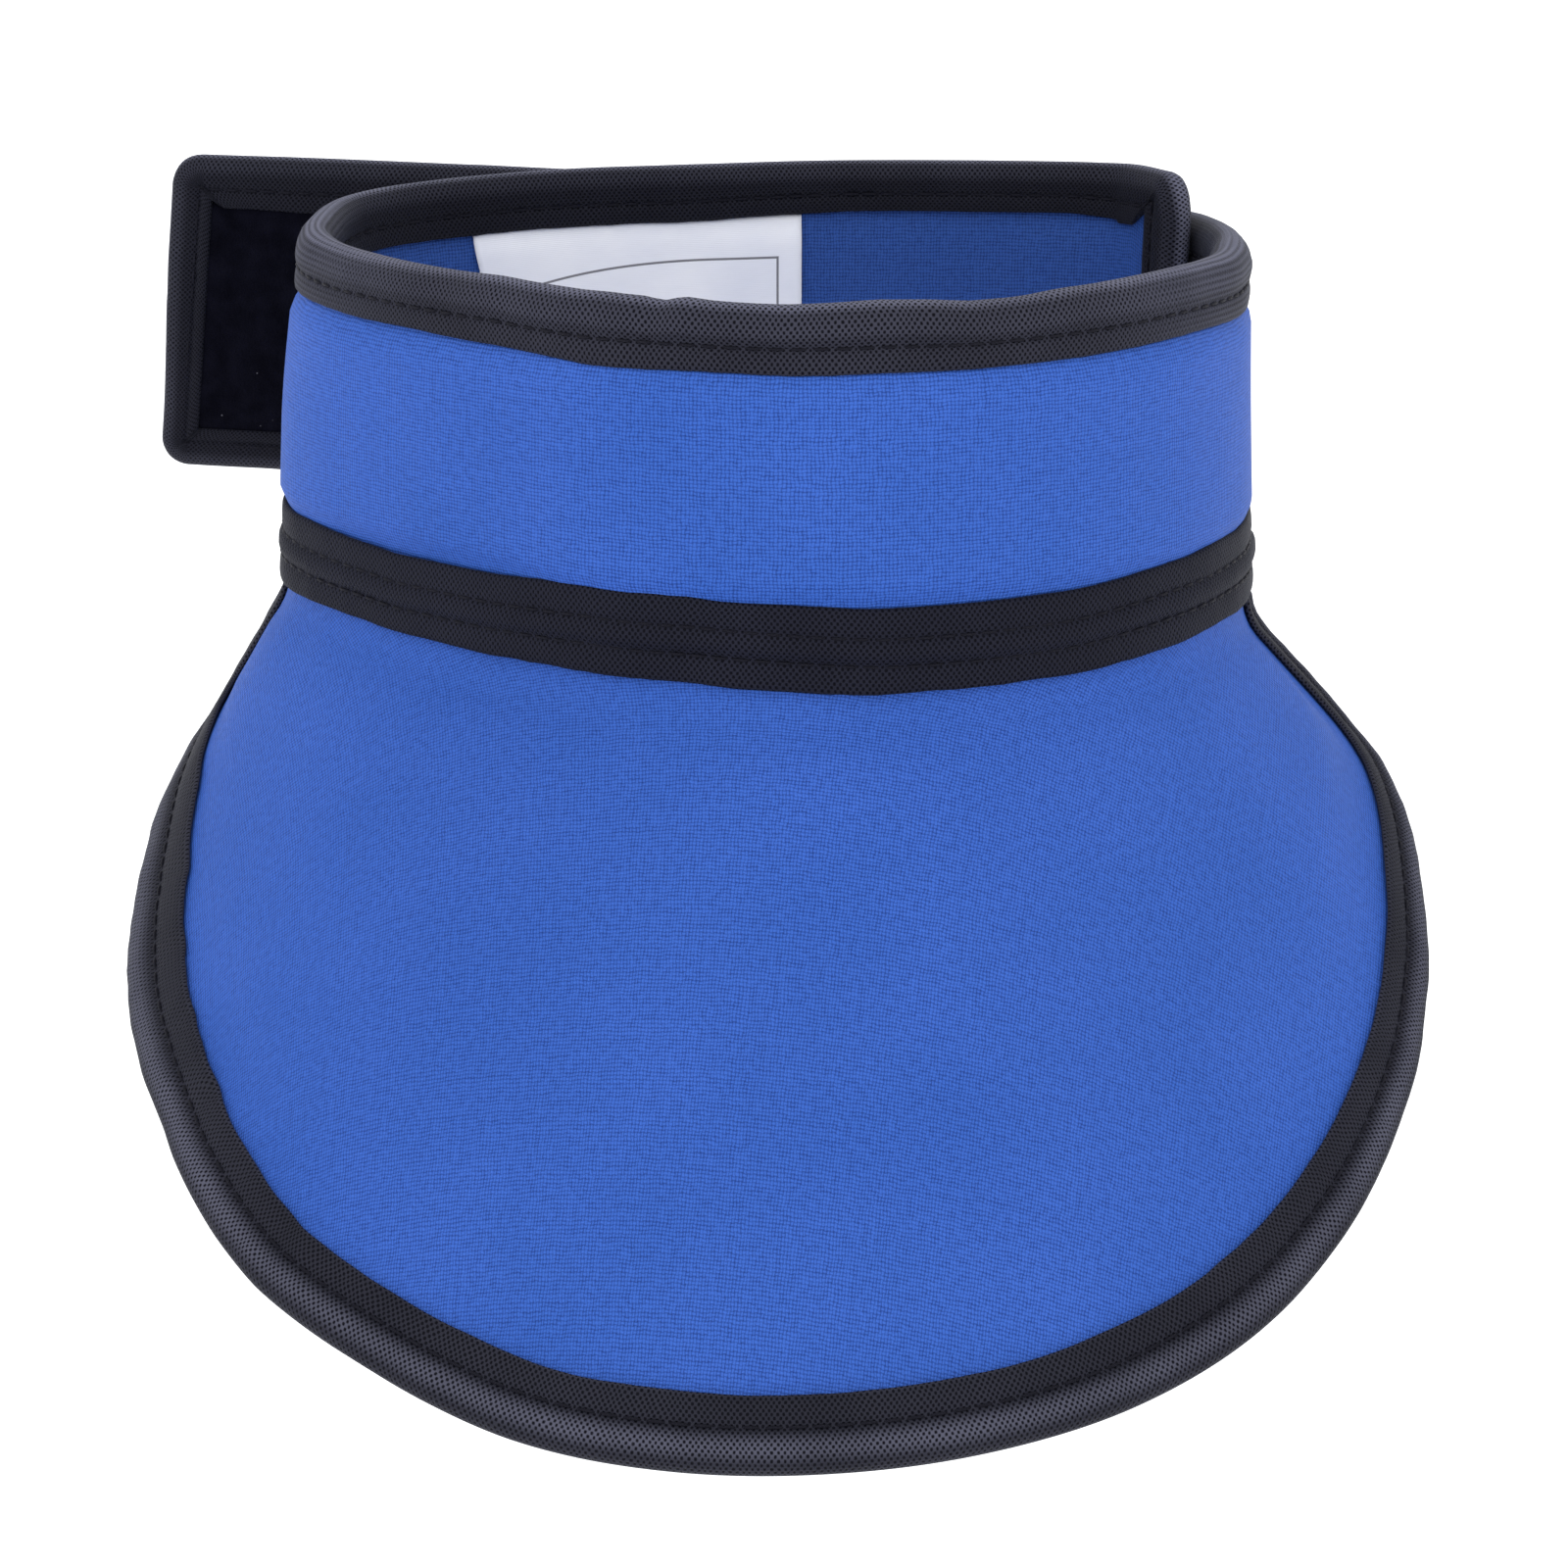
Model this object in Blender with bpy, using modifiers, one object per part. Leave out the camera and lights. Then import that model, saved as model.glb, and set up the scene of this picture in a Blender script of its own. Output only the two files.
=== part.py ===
"""Thyroid shield collar in its worn form: one long padded neck strip closed into a loop, a flared
padded bib below it, folded binding tape on every edge, a taped seam, a fastener and a care label.

Metres, +Z up, +X to the viewer's right, the front of the collar towards -Y.
The origin is the centre of the neck opening, halfway up the strip.
"""

import math

import bmesh
import bpy
import numpy as np
from mathutils import Matrix, Vector

# Driving dimensions
STRIP_HEIGHT = 0.056
PANEL_THICKNESS = 0.0030
TAPE_THICKNESS = 0.0008
PIECE_GAP = 0.0004
BINDING_WIDTH = 0.0105
BIB_BINDING_WIDTH = 0.0112
EDGE_ROLL = 0.0016
PANEL_EDGE_INSET = 0.0024
CORNER_RADIUS = 0.0040
INNER_CORNER_RADIUS = 0.0006
CORNER_CLEARANCE = 0.0145
CORNER_FAN = 0.2
TAB_STRAIGHT = 0.0314

# The seam between strip and bib, as places along the strip and heights above its lower edge
SEAM_START = 0.1590
SEAM_END = 0.3670
SEAM_TAPE_HEIGHT = 0.0130
SEAM_JOINT_HEIGHT = 0.0060
SEAM_TAPE_GAP = 0.0005
SEAM_STEP = 0.0030

# The bib at places along the seam, from -1 at its left end to 1 at its right end: its slope from the
# vertical and how far it is turned from the seam's own direction towards the front, both in degrees
BIB_SLOPE_SHARES = (-1.0, -0.5, 0.0, 0.5, 1.0)
BIB_SLOPES = (31.4, 50.5, 42.0, 41.9, 44.6)
BIB_TURNS = (24.2, 8.5, 0.0, 0.0, 0.5)
BIB_BEND_RADIUS = 0.0120
BIB_EVENING_STEP = 0.0080
BIB_EVENING_STEPS = 3

# Fastener and label
PATCH_THICKNESS = 0.0009
LOOP_PATCH_LENGTH = 0.1400
HOOK_PATCH_START = 0.0140
HOOK_PATCH_LENGTH = 0.0800
LABEL_THICKNESS = 0.0006
LABEL_START = 0.0687
LABEL_LENGTH = 0.0575
LABEL_HEIGHT = 0.0310

# How finely the curved sheets are cut
STATION_STEP = 0.0095
STATION_TURN = math.radians(12)
STATION_SHRINK = 0.9
SHORTEST_STEP = 0.0030
BIB_EDGE_STEP = 0.0070
SPAN_SAMPLES = 40
TANGENT_REACH = 0.0010
FOLD_TURNS = (90, 32, -32, -90)
CORNER_TURNS = (90, 60, 30, 0)
PANEL_ROW_SHARES = (0.0, 0.3, 0.65, 1.0)
BIB_ROW_DEPTHS = (0.0, 0.055, 0.10, 0.15, 0.30, 0.50, 0.75, 1.0)

# The strip's middle surface, from the inner end at the back right, leftwards round the front to the tab.
# low and high are the heights of its edges, flare is how far the lower edge stands out,
# and lean is how far its height lines tip back along the strip, per unit of height.
STRIP_COLUMNS = ("x", "y", "low", "high", "flare", "lean")
STRIP_ROWS = (
    # the inner end, along the back
    (0.0665, 0.0335, -0.0255, 0.0305, 0.0000, 0.03),
    (0.0640, 0.0382, -0.0255, 0.0305, 0.0000, 0.03),
    (0.0608, 0.0437, -0.0256, 0.0304, 0.0000, 0.03),
    (0.0550, 0.0464, -0.0257, 0.0303, 0.0000, 0.02),
    (0.0440, 0.0486, -0.0258, 0.0302, 0.0000, 0.00),
    (0.0270, 0.0503, -0.0259, 0.0301, 0.0000, 0.00),
    (0.0080, 0.0506, -0.0260, 0.0300, 0.0000, 0.00),
    (-0.0140, 0.0486, -0.0263, 0.0297, 0.0000, 0.00),
    (-0.0360, 0.0463, -0.0267, 0.0293, 0.0000, 0.00),
    (-0.0510, 0.0420, -0.0272, 0.0288, 0.0000, 0.00),
    # the left bend
    (-0.0622, 0.0360, -0.0276, 0.0284, 0.0010, 0.00),
    (-0.0690, 0.0282, -0.0278, 0.0281, 0.0025, 0.00),
    (-0.0716, 0.0162, -0.0280, 0.0280, 0.0042, 0.00),
    (-0.0712, 0.0020, -0.0280, 0.0279, 0.0048, 0.00),
    # the front arc
    (-0.0667, -0.0072, -0.0276, 0.0275, 0.0044, 0.00),
    (-0.0545, -0.0201, -0.0268, 0.0273, 0.0038, 0.00),
    (-0.0385, -0.0325, -0.0272, 0.0276, 0.0032, 0.00),
    (-0.0200, -0.0436, -0.0282, 0.0283, 0.0026, 0.00),
    (0.0020, -0.0486, -0.0280, 0.0280, 0.0024, 0.00),
    (0.0220, -0.0470, -0.0280, 0.0280, 0.0026, 0.00),
    (0.0425, -0.0390, -0.0280, 0.0277, 0.0030, 0.00),
    (0.0588, -0.0265, -0.0282, 0.0275, 0.0034, 0.00),
    # the right bend
    (0.0685, -0.0112, -0.0288, 0.0265, 0.0036, 0.00),
    (0.0714, 0.0020, -0.0298, 0.0261, 0.0036, 0.00),
    (0.0725, 0.0180, -0.0314, 0.0249, 0.0031, 0.00),
    (0.0724, 0.0340, -0.0330, 0.0233, 0.0019, 0.00),
    (0.0696, 0.0450, -0.0336, 0.0226, 0.0006, 0.00),
    # outside the inner end, along the back to the tab
    (0.0600, 0.0524, -0.0335, 0.0225, 0.0000, 0.00),
    (0.0440, 0.0558, -0.0328, 0.0232, 0.0000, 0.00),
    (0.0240, 0.0569, -0.0316, 0.0244, 0.0000, 0.00),
    (0.0000, 0.0566, -0.0302, 0.0258, 0.0000, 0.01),
    (-0.0250, 0.0556, -0.0288, 0.0272, 0.0000, 0.04),
    (-0.0500, 0.0553, -0.0276, 0.0284, 0.0000, 0.08),
    (-0.0750, 0.0563, -0.0265, 0.0295, 0.0000, 0.14),
)

# The bib's outer edge, from left to right. share is the place along the seam, from -1 at its left end
# to 1 at its right end, and drop is the distance below the seam on the cloth.
BIB_EDGE_COLUMNS = ("share", "drop")
BIB_EDGE_ROWS = (
    (-0.985, 0.0008),
    (-0.985, 0.0130),
    (-0.978, 0.0266),
    (-0.942, 0.0362),
    (-0.899, 0.0411),
    (-0.829, 0.0485),
    (-0.751, 0.0585),
    (-0.650, 0.0720),
    (-0.550, 0.0827),
    (-0.450, 0.0923),
    (-0.350, 0.1001),
    (-0.220, 0.1053),
    (-0.100, 0.1096),
    (0.000, 0.1108),
    (0.100, 0.1103),
    (0.200, 0.1087),
    (0.300, 0.1053),
    (0.400, 0.0993),
    (0.500, 0.0895),
    (0.600, 0.0774),
    (0.700, 0.0636),
    (0.800, 0.0513),
    (0.880, 0.0430),
    (0.940, 0.0368),
    (0.975, 0.0296),
    (0.985, 0.0140),
    (0.985, 0.0008),
)

# Each cloth's colour and roughness
CLOTHS = {
    "blue_nylon": ((0.045, 0.120, 0.560, 1.0), 0.62),
    "binding_tape": ((0.012, 0.012, 0.020, 1.0), 0.80),
    "loop_pile": ((0.005, 0.005, 0.009, 1.0), 0.95),
    "hook_tape": ((0.005, 0.005, 0.009, 1.0), 0.60),
    "label_satin": ((0.740, 0.760, 0.820, 1.0), 0.45),
}


def clear_scene():
    """Remove whatever objects the file opened with."""
    for leftover in list(bpy.data.objects):
        bpy.data.objects.remove(leftover, do_unlink=True)


def smooth_curve(rows):
    """A centripetal Catmull-Rom curve through the rows, with every column treated alike."""
    points = np.array(rows, dtype=float)
    first = 2 * points[0] - points[1]
    last = 2 * points[-1] - points[-2]
    points = np.vstack([first, points, last])
    samples = []
    for i in range(1, len(points) - 2):
        p0, p1, p2, p3 = points[i - 1:i + 3]
        t1 = math.sqrt(np.linalg.norm(p1 - p0))
        t2 = t1 + math.sqrt(np.linalg.norm(p2 - p1))
        t3 = t2 + math.sqrt(np.linalg.norm(p3 - p2))
        for t in np.linspace(t1, t2, SPAN_SAMPLES, endpoint=False):
            a1 = p0 + (p1 - p0) * t / t1
            a2 = p1 + (p2 - p1) * (t - t1) / (t2 - t1)
            a3 = p2 + (p3 - p2) * (t - t2) / (t3 - t2)
            b1 = a1 + (a2 - a1) * t / t2
            b2 = a2 + (a3 - a2) * (t - t1) / (t3 - t1)
            samples.append(b1 + (b2 - b1) * (t - t1) / (t2 - t1))
    samples.append(points[-2])
    return np.array(samples)


def strip_curve():
    """The strip's dense middle line, with the tab's straight run added, and its lengths so far."""
    line = smooth_curve(STRIP_ROWS)
    step = line[-1] - line[-2]
    step *= TAB_STRAIGHT / np.linalg.norm(step[:2])
    step[STRIP_COLUMNS.index("flare")] = 0.0
    step[STRIP_COLUMNS.index("lean")] = 0.0
    line = np.vstack([line, line[-1] + step])
    lengths = np.linalg.norm(np.diff(line[:, :2], axis=0), axis=1)
    return line, np.concatenate([[0.0], np.cumsum(lengths)])


STRIP_LINE, STRIP_LENGTHS = strip_curve()
STRIP_LENGTH = STRIP_LENGTHS[-1]


def strip_value(along, column):
    """One column of the strip's table at a place along it, carried on straight past either end."""
    values = STRIP_LINE[:, STRIP_COLUMNS.index(column)]
    inside = float(np.interp(along, STRIP_LENGTHS, values))
    if along < 0.0:
        return inside + along * (values[1] - values[0]) / STRIP_LENGTHS[1]
    if along > STRIP_LENGTH:
        end_step = STRIP_LENGTHS[-1] - STRIP_LENGTHS[-2]
        return inside + (along - STRIP_LENGTH) * (values[-1] - values[-2]) / end_step
    return inside


def strip_slope(along, column):
    """How fast a column changes along the strip."""
    ahead = strip_value(along + TANGENT_REACH, column)
    behind = strip_value(along - TANGENT_REACH, column)
    return (ahead - behind) / (2 * TANGENT_REACH)


def outward(along):
    """The level direction that points away from the neck."""
    return Vector((strip_slope(along, "y"), -strip_slope(along, "x"), 0.0)).normalized()


def strip_point(along, up, out):
    """A point of the strip: its place along, its height above the lower edge, and how far outward."""
    place = along - (up - STRIP_HEIGHT / 2) * strip_value(along, "lean")
    share = up / STRIP_HEIGHT
    low = strip_value(along, "low")
    high = strip_value(along, "high")
    flare = strip_value(along, "flare") * (1.0 - share)
    middle = Vector((strip_value(place, "x"), strip_value(place, "y"), low + share * (high - low)))
    return middle + outward(place) * (flare + out)


def seam_share(along):
    """-1 at the seam's left end, 0 at its middle and 1 at its right end."""
    middle = (SEAM_START + SEAM_END) / 2
    return (along - middle) / ((SEAM_END - SEAM_START) / 2)


def bib_outward(along):
    """The level direction in which the bib stands out, evened out because stiff cloth can't turn sharply."""
    total = Vector((0.0, 0.0, 0.0))
    for i in range(-BIB_EVENING_STEPS, BIB_EVENING_STEPS + 1):
        total += outward(along + i * BIB_EVENING_STEP)
    turn = math.radians(np.interp(seam_share(along), BIB_SLOPE_SHARES, BIB_TURNS))
    return Matrix.Rotation(turn, 3, "Z") @ total.normalized()


def bib_middle(along, drop):
    """A point of the bib's middle surface: its place along the seam and its distance below it."""
    slope = math.radians(np.interp(seam_share(along), BIB_SLOPE_SHARES, BIB_SLOPES))
    bend = min(drop / BIB_BEND_RADIUS, slope)
    run = max(drop - BIB_BEND_RADIUS * slope, 0.0)
    sideways = BIB_BEND_RADIUS * (1.0 - math.cos(bend)) + run * math.sin(slope)
    downwards = BIB_BEND_RADIUS * math.sin(bend) + run * math.cos(slope)
    return strip_point(along, 0.0, 0.0) + bib_outward(along) * sideways - Vector((0.0, 0.0, downwards))


def bib_point(along, drop, out):
    """A point of the bib at a distance out from its middle surface, or of the strip above the seam."""
    if drop <= 0.0:
        return strip_point(along, -drop, out)
    here = bib_middle(along, drop)
    across = bib_middle(along + TANGENT_REACH, drop) - bib_middle(along - TANGENT_REACH, drop)
    down = bib_middle(along, drop + TANGENT_REACH) - here
    return here + down.cross(across).normalized() * out


def bib_edge_curve():
    """The bib's outer edge from left to right as places along and drops, with its length so far."""
    half_length = (SEAM_END - SEAM_START) / 2
    middle = (SEAM_START + SEAM_END) / 2
    share_column = BIB_EDGE_COLUMNS.index("share")
    drop_column = BIB_EDGE_COLUMNS.index("drop")
    rows = [(middle + row[share_column] * half_length, row[drop_column]) for row in BIB_EDGE_ROWS]
    line = smooth_curve(rows)
    spots = np.array([bib_point(along, drop, 0.0) for along, drop in line])
    lengths = np.linalg.norm(np.diff(spots, axis=0), axis=1)
    return line, np.concatenate([[0.0], np.cumsum(lengths)])


BIB_LINE, BIB_LENGTHS = bib_edge_curve()
BIB_EDGE_LENGTH = BIB_LENGTHS[-1]


def bib_edge_point(travel, inset):
    """Along and drop of a point on the cloth, inset from the bib's edge at a distance round it."""
    along = float(np.interp(travel, BIB_LENGTHS, BIB_LINE[:, 0]))
    drop = float(np.interp(travel, BIB_LENGTHS, BIB_LINE[:, 1]))
    ends = np.clip((travel - TANGENT_REACH, travel + TANGENT_REACH), 0.0, BIB_EDGE_LENGTH)
    step_along = np.diff(np.interp(ends, BIB_LENGTHS, BIB_LINE[:, 0]))[0]
    step_drop = np.diff(np.interp(ends, BIB_LENGTHS, BIB_LINE[:, 1]))[0]
    spread = (bib_point(along + TANGENT_REACH, drop, 0.0) - bib_point(along, drop, 0.0)).length
    spread /= TANGENT_REACH
    across = Vector((step_along * spread, step_drop)).normalized()
    return along + inset * across.y / spread, drop - inset * across.x


def stations():
    """Places along the strip, closer together where it bends more."""
    marks = [CORNER_CLEARANCE]
    before_seam = SEAM_START - SEAM_STEP
    after_seam = SEAM_END + SEAM_STEP
    for goal in (before_seam, SEAM_START, SEAM_END, after_seam, STRIP_LENGTH - CORNER_CLEARANCE):
        while marks[-1] < goal:
            here = marks[-1]
            step = min(STATION_STEP, goal - here)
            while step > SHORTEST_STEP:
                if outward(here).angle(outward(here + step)) < STATION_TURN:
                    break
                step *= STATION_SHRINK
            marks.append(goal if goal - here - step < SHORTEST_STEP / 2 else here + step)
    return marks


STATIONS = stations()


def spaced(start, end, step):
    """Evenly spaced values from start to end, about a step apart."""
    count = max(1, round(abs(end - start) / step))
    return [start + (end - start) * i / count for i in range(count + 1)]


def stations_between(start, end):
    """The shared stations that lie inside a stretch, with the stretch's own two ends."""
    clear = SHORTEST_STEP / 2
    inside = [mark for mark in STATIONS if start + clear < mark < end - clear]
    return [start] + inside + [end]


def material(name):
    """A Principled material in a cloth's colour and roughness."""
    colour, roughness = CLOTHS[name]
    made = bpy.data.materials.new(name)
    made.use_nodes = True
    shader = made.node_tree.nodes["Principled BSDF"]
    shader.inputs["Base Color"].default_value = colour
    shader.inputs["Roughness"].default_value = roughness
    shader.inputs["Metallic"].default_value = 0.0
    return made


def sheet(name, columns, rows, place, thickness, finish):
    """A grid of columns by rows laid out by place(column, row) and made solid about its middle."""
    mesh = bpy.data.meshes.new(name)
    grid = bmesh.new()
    bmesh.ops.create_grid(grid, x_segments=columns - 1, y_segments=rows - 1, size=0.5)
    for vert in grid.verts:
        column = round((vert.co.x + 0.5) * (columns - 1))
        row = round((vert.co.y + 0.5) * (rows - 1))
        vert.co = place(column, row)
    grid.to_mesh(mesh)
    grid.free()
    mesh.materials.append(finish)
    piece = bpy.data.objects.new(name, mesh)
    COLLECTION.objects.link(piece)
    solid = piece.modifiers.new("thickness", "SOLIDIFY")
    solid.thickness = thickness
    solid.offset = 0.0
    solid.use_even_offset = True
    solid.use_quality_normals = True
    mesh.shade_smooth()
    return piece


def fold_section(width):
    """A folded tape's middle line, from the outer leg round the edge to the inner leg."""
    half = PANEL_THICKNESS / 2 + PIECE_GAP + TAPE_THICKNESS / 2
    section = [(width, half)]
    for degrees in FOLD_TURNS:
        turn = math.radians(degrees)
        inset = TAPE_THICKNESS / 2 + EDGE_ROLL * (1.0 - math.cos(turn))
        section.append((inset, half * math.sin(turn)))
    section.append((width, -half))
    return section


def panel_lower_edge(along):
    """Where the strip's padded panel ends: at the joint over the seam, and near the edge elsewhere."""
    ramp = (SEAM_START - SEAM_STEP, SEAM_START, SEAM_END, SEAM_END + SEAM_STEP)
    joint = SEAM_JOINT_HEIGHT + PIECE_GAP / 2
    return float(np.interp(along, ramp, (PANEL_EDGE_INSET, joint, joint, PANEL_EDGE_INSET)))


def neck_panel(finish):
    """The long padded strip."""
    ends = (PANEL_EDGE_INSET, BINDING_WIDTH)
    marks = list(ends) + STATIONS + [STRIP_LENGTH - inset for inset in reversed(ends)]

    def place(column, row):
        bevel = CORNER_RADIUS if column in (0, len(marks) - 1) else 0.0
        low = panel_lower_edge(marks[column]) + bevel
        high = STRIP_HEIGHT - PANEL_EDGE_INSET - bevel
        return strip_point(marks[column], low + PANEL_ROW_SHARES[row] * (high - low), 0.0)

    return sheet("neck_panel", len(marks), len(PANEL_ROW_SHARES), place, PANEL_THICKNESS, finish)


def corner_centre(inset):
    """How far from both edges the centre of a corner's arc is."""
    return max(CORNER_RADIUS, inset + INNER_CORNER_RADIUS)


def corner_point(end, toward, edge, away, turn, inset):
    """Along and up of a point inset from the strip's outline at one of its rounded corners."""
    centre = corner_centre(inset)
    radius = centre - inset
    return end + toward * (centre - radius * math.cos(turn)), edge + away * (centre - radius * math.sin(turn))


def binding_route():
    """Functions of the inset that walk the bound outline, from the seam's right end to its left end."""
    route = []

    def along_edge(mark, edge, away):
        route.append(lambda inset: (mark, edge + away * inset))

    def near_corner(end, toward, edge, away):
        def between(inset):
            return end + toward * (BINDING_WIDTH + CORNER_FAN * inset), edge + away * inset
        route.append(between)

    def round_corner(end, toward, edge, away, turns):
        if turns[0] > turns[-1]:
            near_corner(end, toward, edge, away)
        for degrees in turns:
            turn = math.radians(degrees)
            route.append(lambda inset, turn=turn: corner_point(end, toward, edge, away, turn, inset))
        if turns[0] < turns[-1]:
            near_corner(end, toward, edge, away)

    def up_end(end, toward, height):
        route.append(lambda inset: (end + toward * inset, height))

    towards_end = CORNER_TURNS
    away_from_end = CORNER_TURNS[::-1]
    middle = STRIP_HEIGHT / 2
    top = STRIP_HEIGHT
    for mark in stations_between(SEAM_END + PIECE_GAP, STATIONS[-1]):
        along_edge(mark, 0.0, 1.0)
    round_corner(STRIP_LENGTH, -1.0, 0.0, 1.0, towards_end)
    up_end(STRIP_LENGTH, -1.0, middle)
    round_corner(STRIP_LENGTH, -1.0, top, -1.0, away_from_end)
    for mark in reversed(STATIONS):
        along_edge(mark, top, -1.0)
    round_corner(0.0, 1.0, top, -1.0, towards_end)
    up_end(0.0, 1.0, middle)
    round_corner(0.0, 1.0, 0.0, 1.0, away_from_end)
    for mark in stations_between(STATIONS[0], SEAM_START - PIECE_GAP):
        along_edge(mark, 0.0, 1.0)
    return route


def neck_binding(finish):
    """The folded tape round the strip's top edge, both ends and the free lower edges."""
    route = binding_route()
    section = fold_section(BINDING_WIDTH)

    def place(column, row):
        inset, out = section[row]
        along, up = route[column](inset)
        return strip_point(along, up, out)

    return sheet("neck_binding", len(route), len(section), place, TAPE_THICKNESS, finish)


def seam_strip(name, side, finish):
    """A flat tape over the seam, on the outer side (1) or the inner side (-1)."""
    marks = stations_between(SEAM_START, SEAM_END)
    heights = (0.0, SEAM_JOINT_HEIGHT, SEAM_TAPE_HEIGHT)
    out = side * (PANEL_THICKNESS / 2 + SEAM_TAPE_GAP + TAPE_THICKNESS / 2)

    def place(column, row):
        return strip_point(marks[column], heights[row], out)

    return sheet(name, len(marks), len(heights), place, TAPE_THICKNESS, finish)


def bib_panel(finish):
    """The padded bib, from the joint under the seam tape to just inside its binding."""
    travels = spaced(0.0, BIB_EDGE_LENGTH, BIB_EDGE_STEP)
    first = bib_edge_point(0.0, BIB_BINDING_WIDTH)[0]
    last = bib_edge_point(BIB_EDGE_LENGTH, BIB_BINDING_WIDTH)[0]
    joint = PIECE_GAP / 2 - SEAM_JOINT_HEIGHT

    def place(column, row):
        travel = travels[column]
        if row == len(BIB_ROW_DEPTHS):
            return bib_point(*bib_edge_point(travel, PANEL_EDGE_INSET), 0.0)
        start = first + (last - first) * column / (len(travels) - 1)
        end, drop = bib_edge_point(travel, BIB_BINDING_WIDTH)
        depth = BIB_ROW_DEPTHS[row]
        return bib_point(start + depth * (end - start), joint + depth * (drop - joint), 0.0)

    return sheet("bib_panel", len(travels), len(BIB_ROW_DEPTHS) + 1, place, PANEL_THICKNESS, finish)


def bib_binding(finish):
    """The folded tape round the bib's outer edge."""
    travels = spaced(0.0, BIB_EDGE_LENGTH, BIB_EDGE_STEP)
    section = fold_section(BIB_BINDING_WIDTH)

    def place(column, row):
        inset, out = section[row]
        along, drop = bib_edge_point(travels[column], inset)
        return bib_point(along, max(drop, PIECE_GAP), out)

    return sheet("bib_binding", len(travels), len(section), place, TAPE_THICKNESS, finish)


def flat_patch(name, start, end, bottom, top, side, thickness, finish):
    """A thin flat piece on one face of the strip."""
    marks = stations_between(start, end)
    heights = (bottom, (bottom + top) / 2, top)
    out = side * (PANEL_THICKNESS / 2 + PIECE_GAP + thickness / 2)

    def place(column, row):
        return strip_point(marks[column], heights[row], out)

    return sheet(name, len(marks), len(heights), place, thickness, finish)


def patches():
    """The two halves of the fastener, and the care label, all between the strip's bindings."""
    bottom = BINDING_WIDTH + PIECE_GAP
    top = STRIP_HEIGHT - bottom
    pile = material("loop_pile")
    hooks = material("hook_tape")
    satin = material("label_satin")
    tab_end = STRIP_LENGTH - bottom
    hook_end = HOOK_PATCH_START + HOOK_PATCH_LENGTH
    label_end = LABEL_START + LABEL_LENGTH
    flat_patch("loop_patch", tab_end - LOOP_PATCH_LENGTH, tab_end, bottom, top, -1, PATCH_THICKNESS, pile)
    flat_patch("hook_patch", HOOK_PATCH_START, hook_end, bottom, top, 1, PATCH_THICKNESS, hooks)
    flat_patch("care_label", LABEL_START, label_end, top - LABEL_HEIGHT, top, -1, LABEL_THICKNESS, satin)


clear_scene()
COLLECTION = bpy.data.collections.new("thyroid_shield_collar")
bpy.context.scene.collection.children.link(COLLECTION)

NYLON = material("blue_nylon")
TAPE = material("binding_tape")

neck_panel(NYLON)
bib_panel(NYLON)
neck_binding(TAPE)
bib_binding(TAPE)
seam_strip("seam_tape", 1, TAPE)
seam_strip("seam_backing", -1, TAPE)
patches()
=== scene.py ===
"""Looks for the thyroid shield collar: padded nylon panels, folded woven binding tape with its rolls, lips
and stitches, a ridged seam tape, loop pile, a satin label, and a plain studio. Metres, in the frame of the
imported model."""

import math

import bmesh
import bpy
import numpy as np
from mathutils import Euler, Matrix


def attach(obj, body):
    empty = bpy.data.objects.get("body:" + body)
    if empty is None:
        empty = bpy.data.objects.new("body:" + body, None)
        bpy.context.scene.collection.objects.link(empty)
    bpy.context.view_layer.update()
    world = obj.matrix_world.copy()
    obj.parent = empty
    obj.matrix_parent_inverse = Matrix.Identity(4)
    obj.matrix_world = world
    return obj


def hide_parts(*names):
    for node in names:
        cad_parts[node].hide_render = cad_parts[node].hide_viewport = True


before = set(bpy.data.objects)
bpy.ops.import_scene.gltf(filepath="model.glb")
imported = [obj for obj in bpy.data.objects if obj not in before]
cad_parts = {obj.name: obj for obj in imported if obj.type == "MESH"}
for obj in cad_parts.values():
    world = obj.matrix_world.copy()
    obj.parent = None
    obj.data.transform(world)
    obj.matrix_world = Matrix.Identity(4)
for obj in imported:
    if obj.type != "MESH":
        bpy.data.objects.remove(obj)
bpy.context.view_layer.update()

MM = 0.001
TINY = 1e-12
SPAN_SAMPLES = 40
TANGENT_REACH = 0.0010

# Steps between the columns of the meshes
TAPE_STEP = 0.0016
STRIP_STEP = 0.0020
BIB_STEP = 0.0026
LABEL_STEP = 0.0010

# The strip and its seam, the same as in the frame
STRIP_HEIGHT = 0.056
PANEL_THICKNESS = 0.0030
PANEL_EDGE_INSET = 0.0024
CORNER_RADIUS = 0.0040
INNER_CORNER_RADIUS = 0.0006
CORNER_CLEARANCE = 0.0145
TAB_STRAIGHT = 0.0314
SEAM_START = 0.1590
SEAM_END = 0.3670
SEAM_JOINT_HEIGHT = 0.0060
SEAM_GAP = 0.0004

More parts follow.
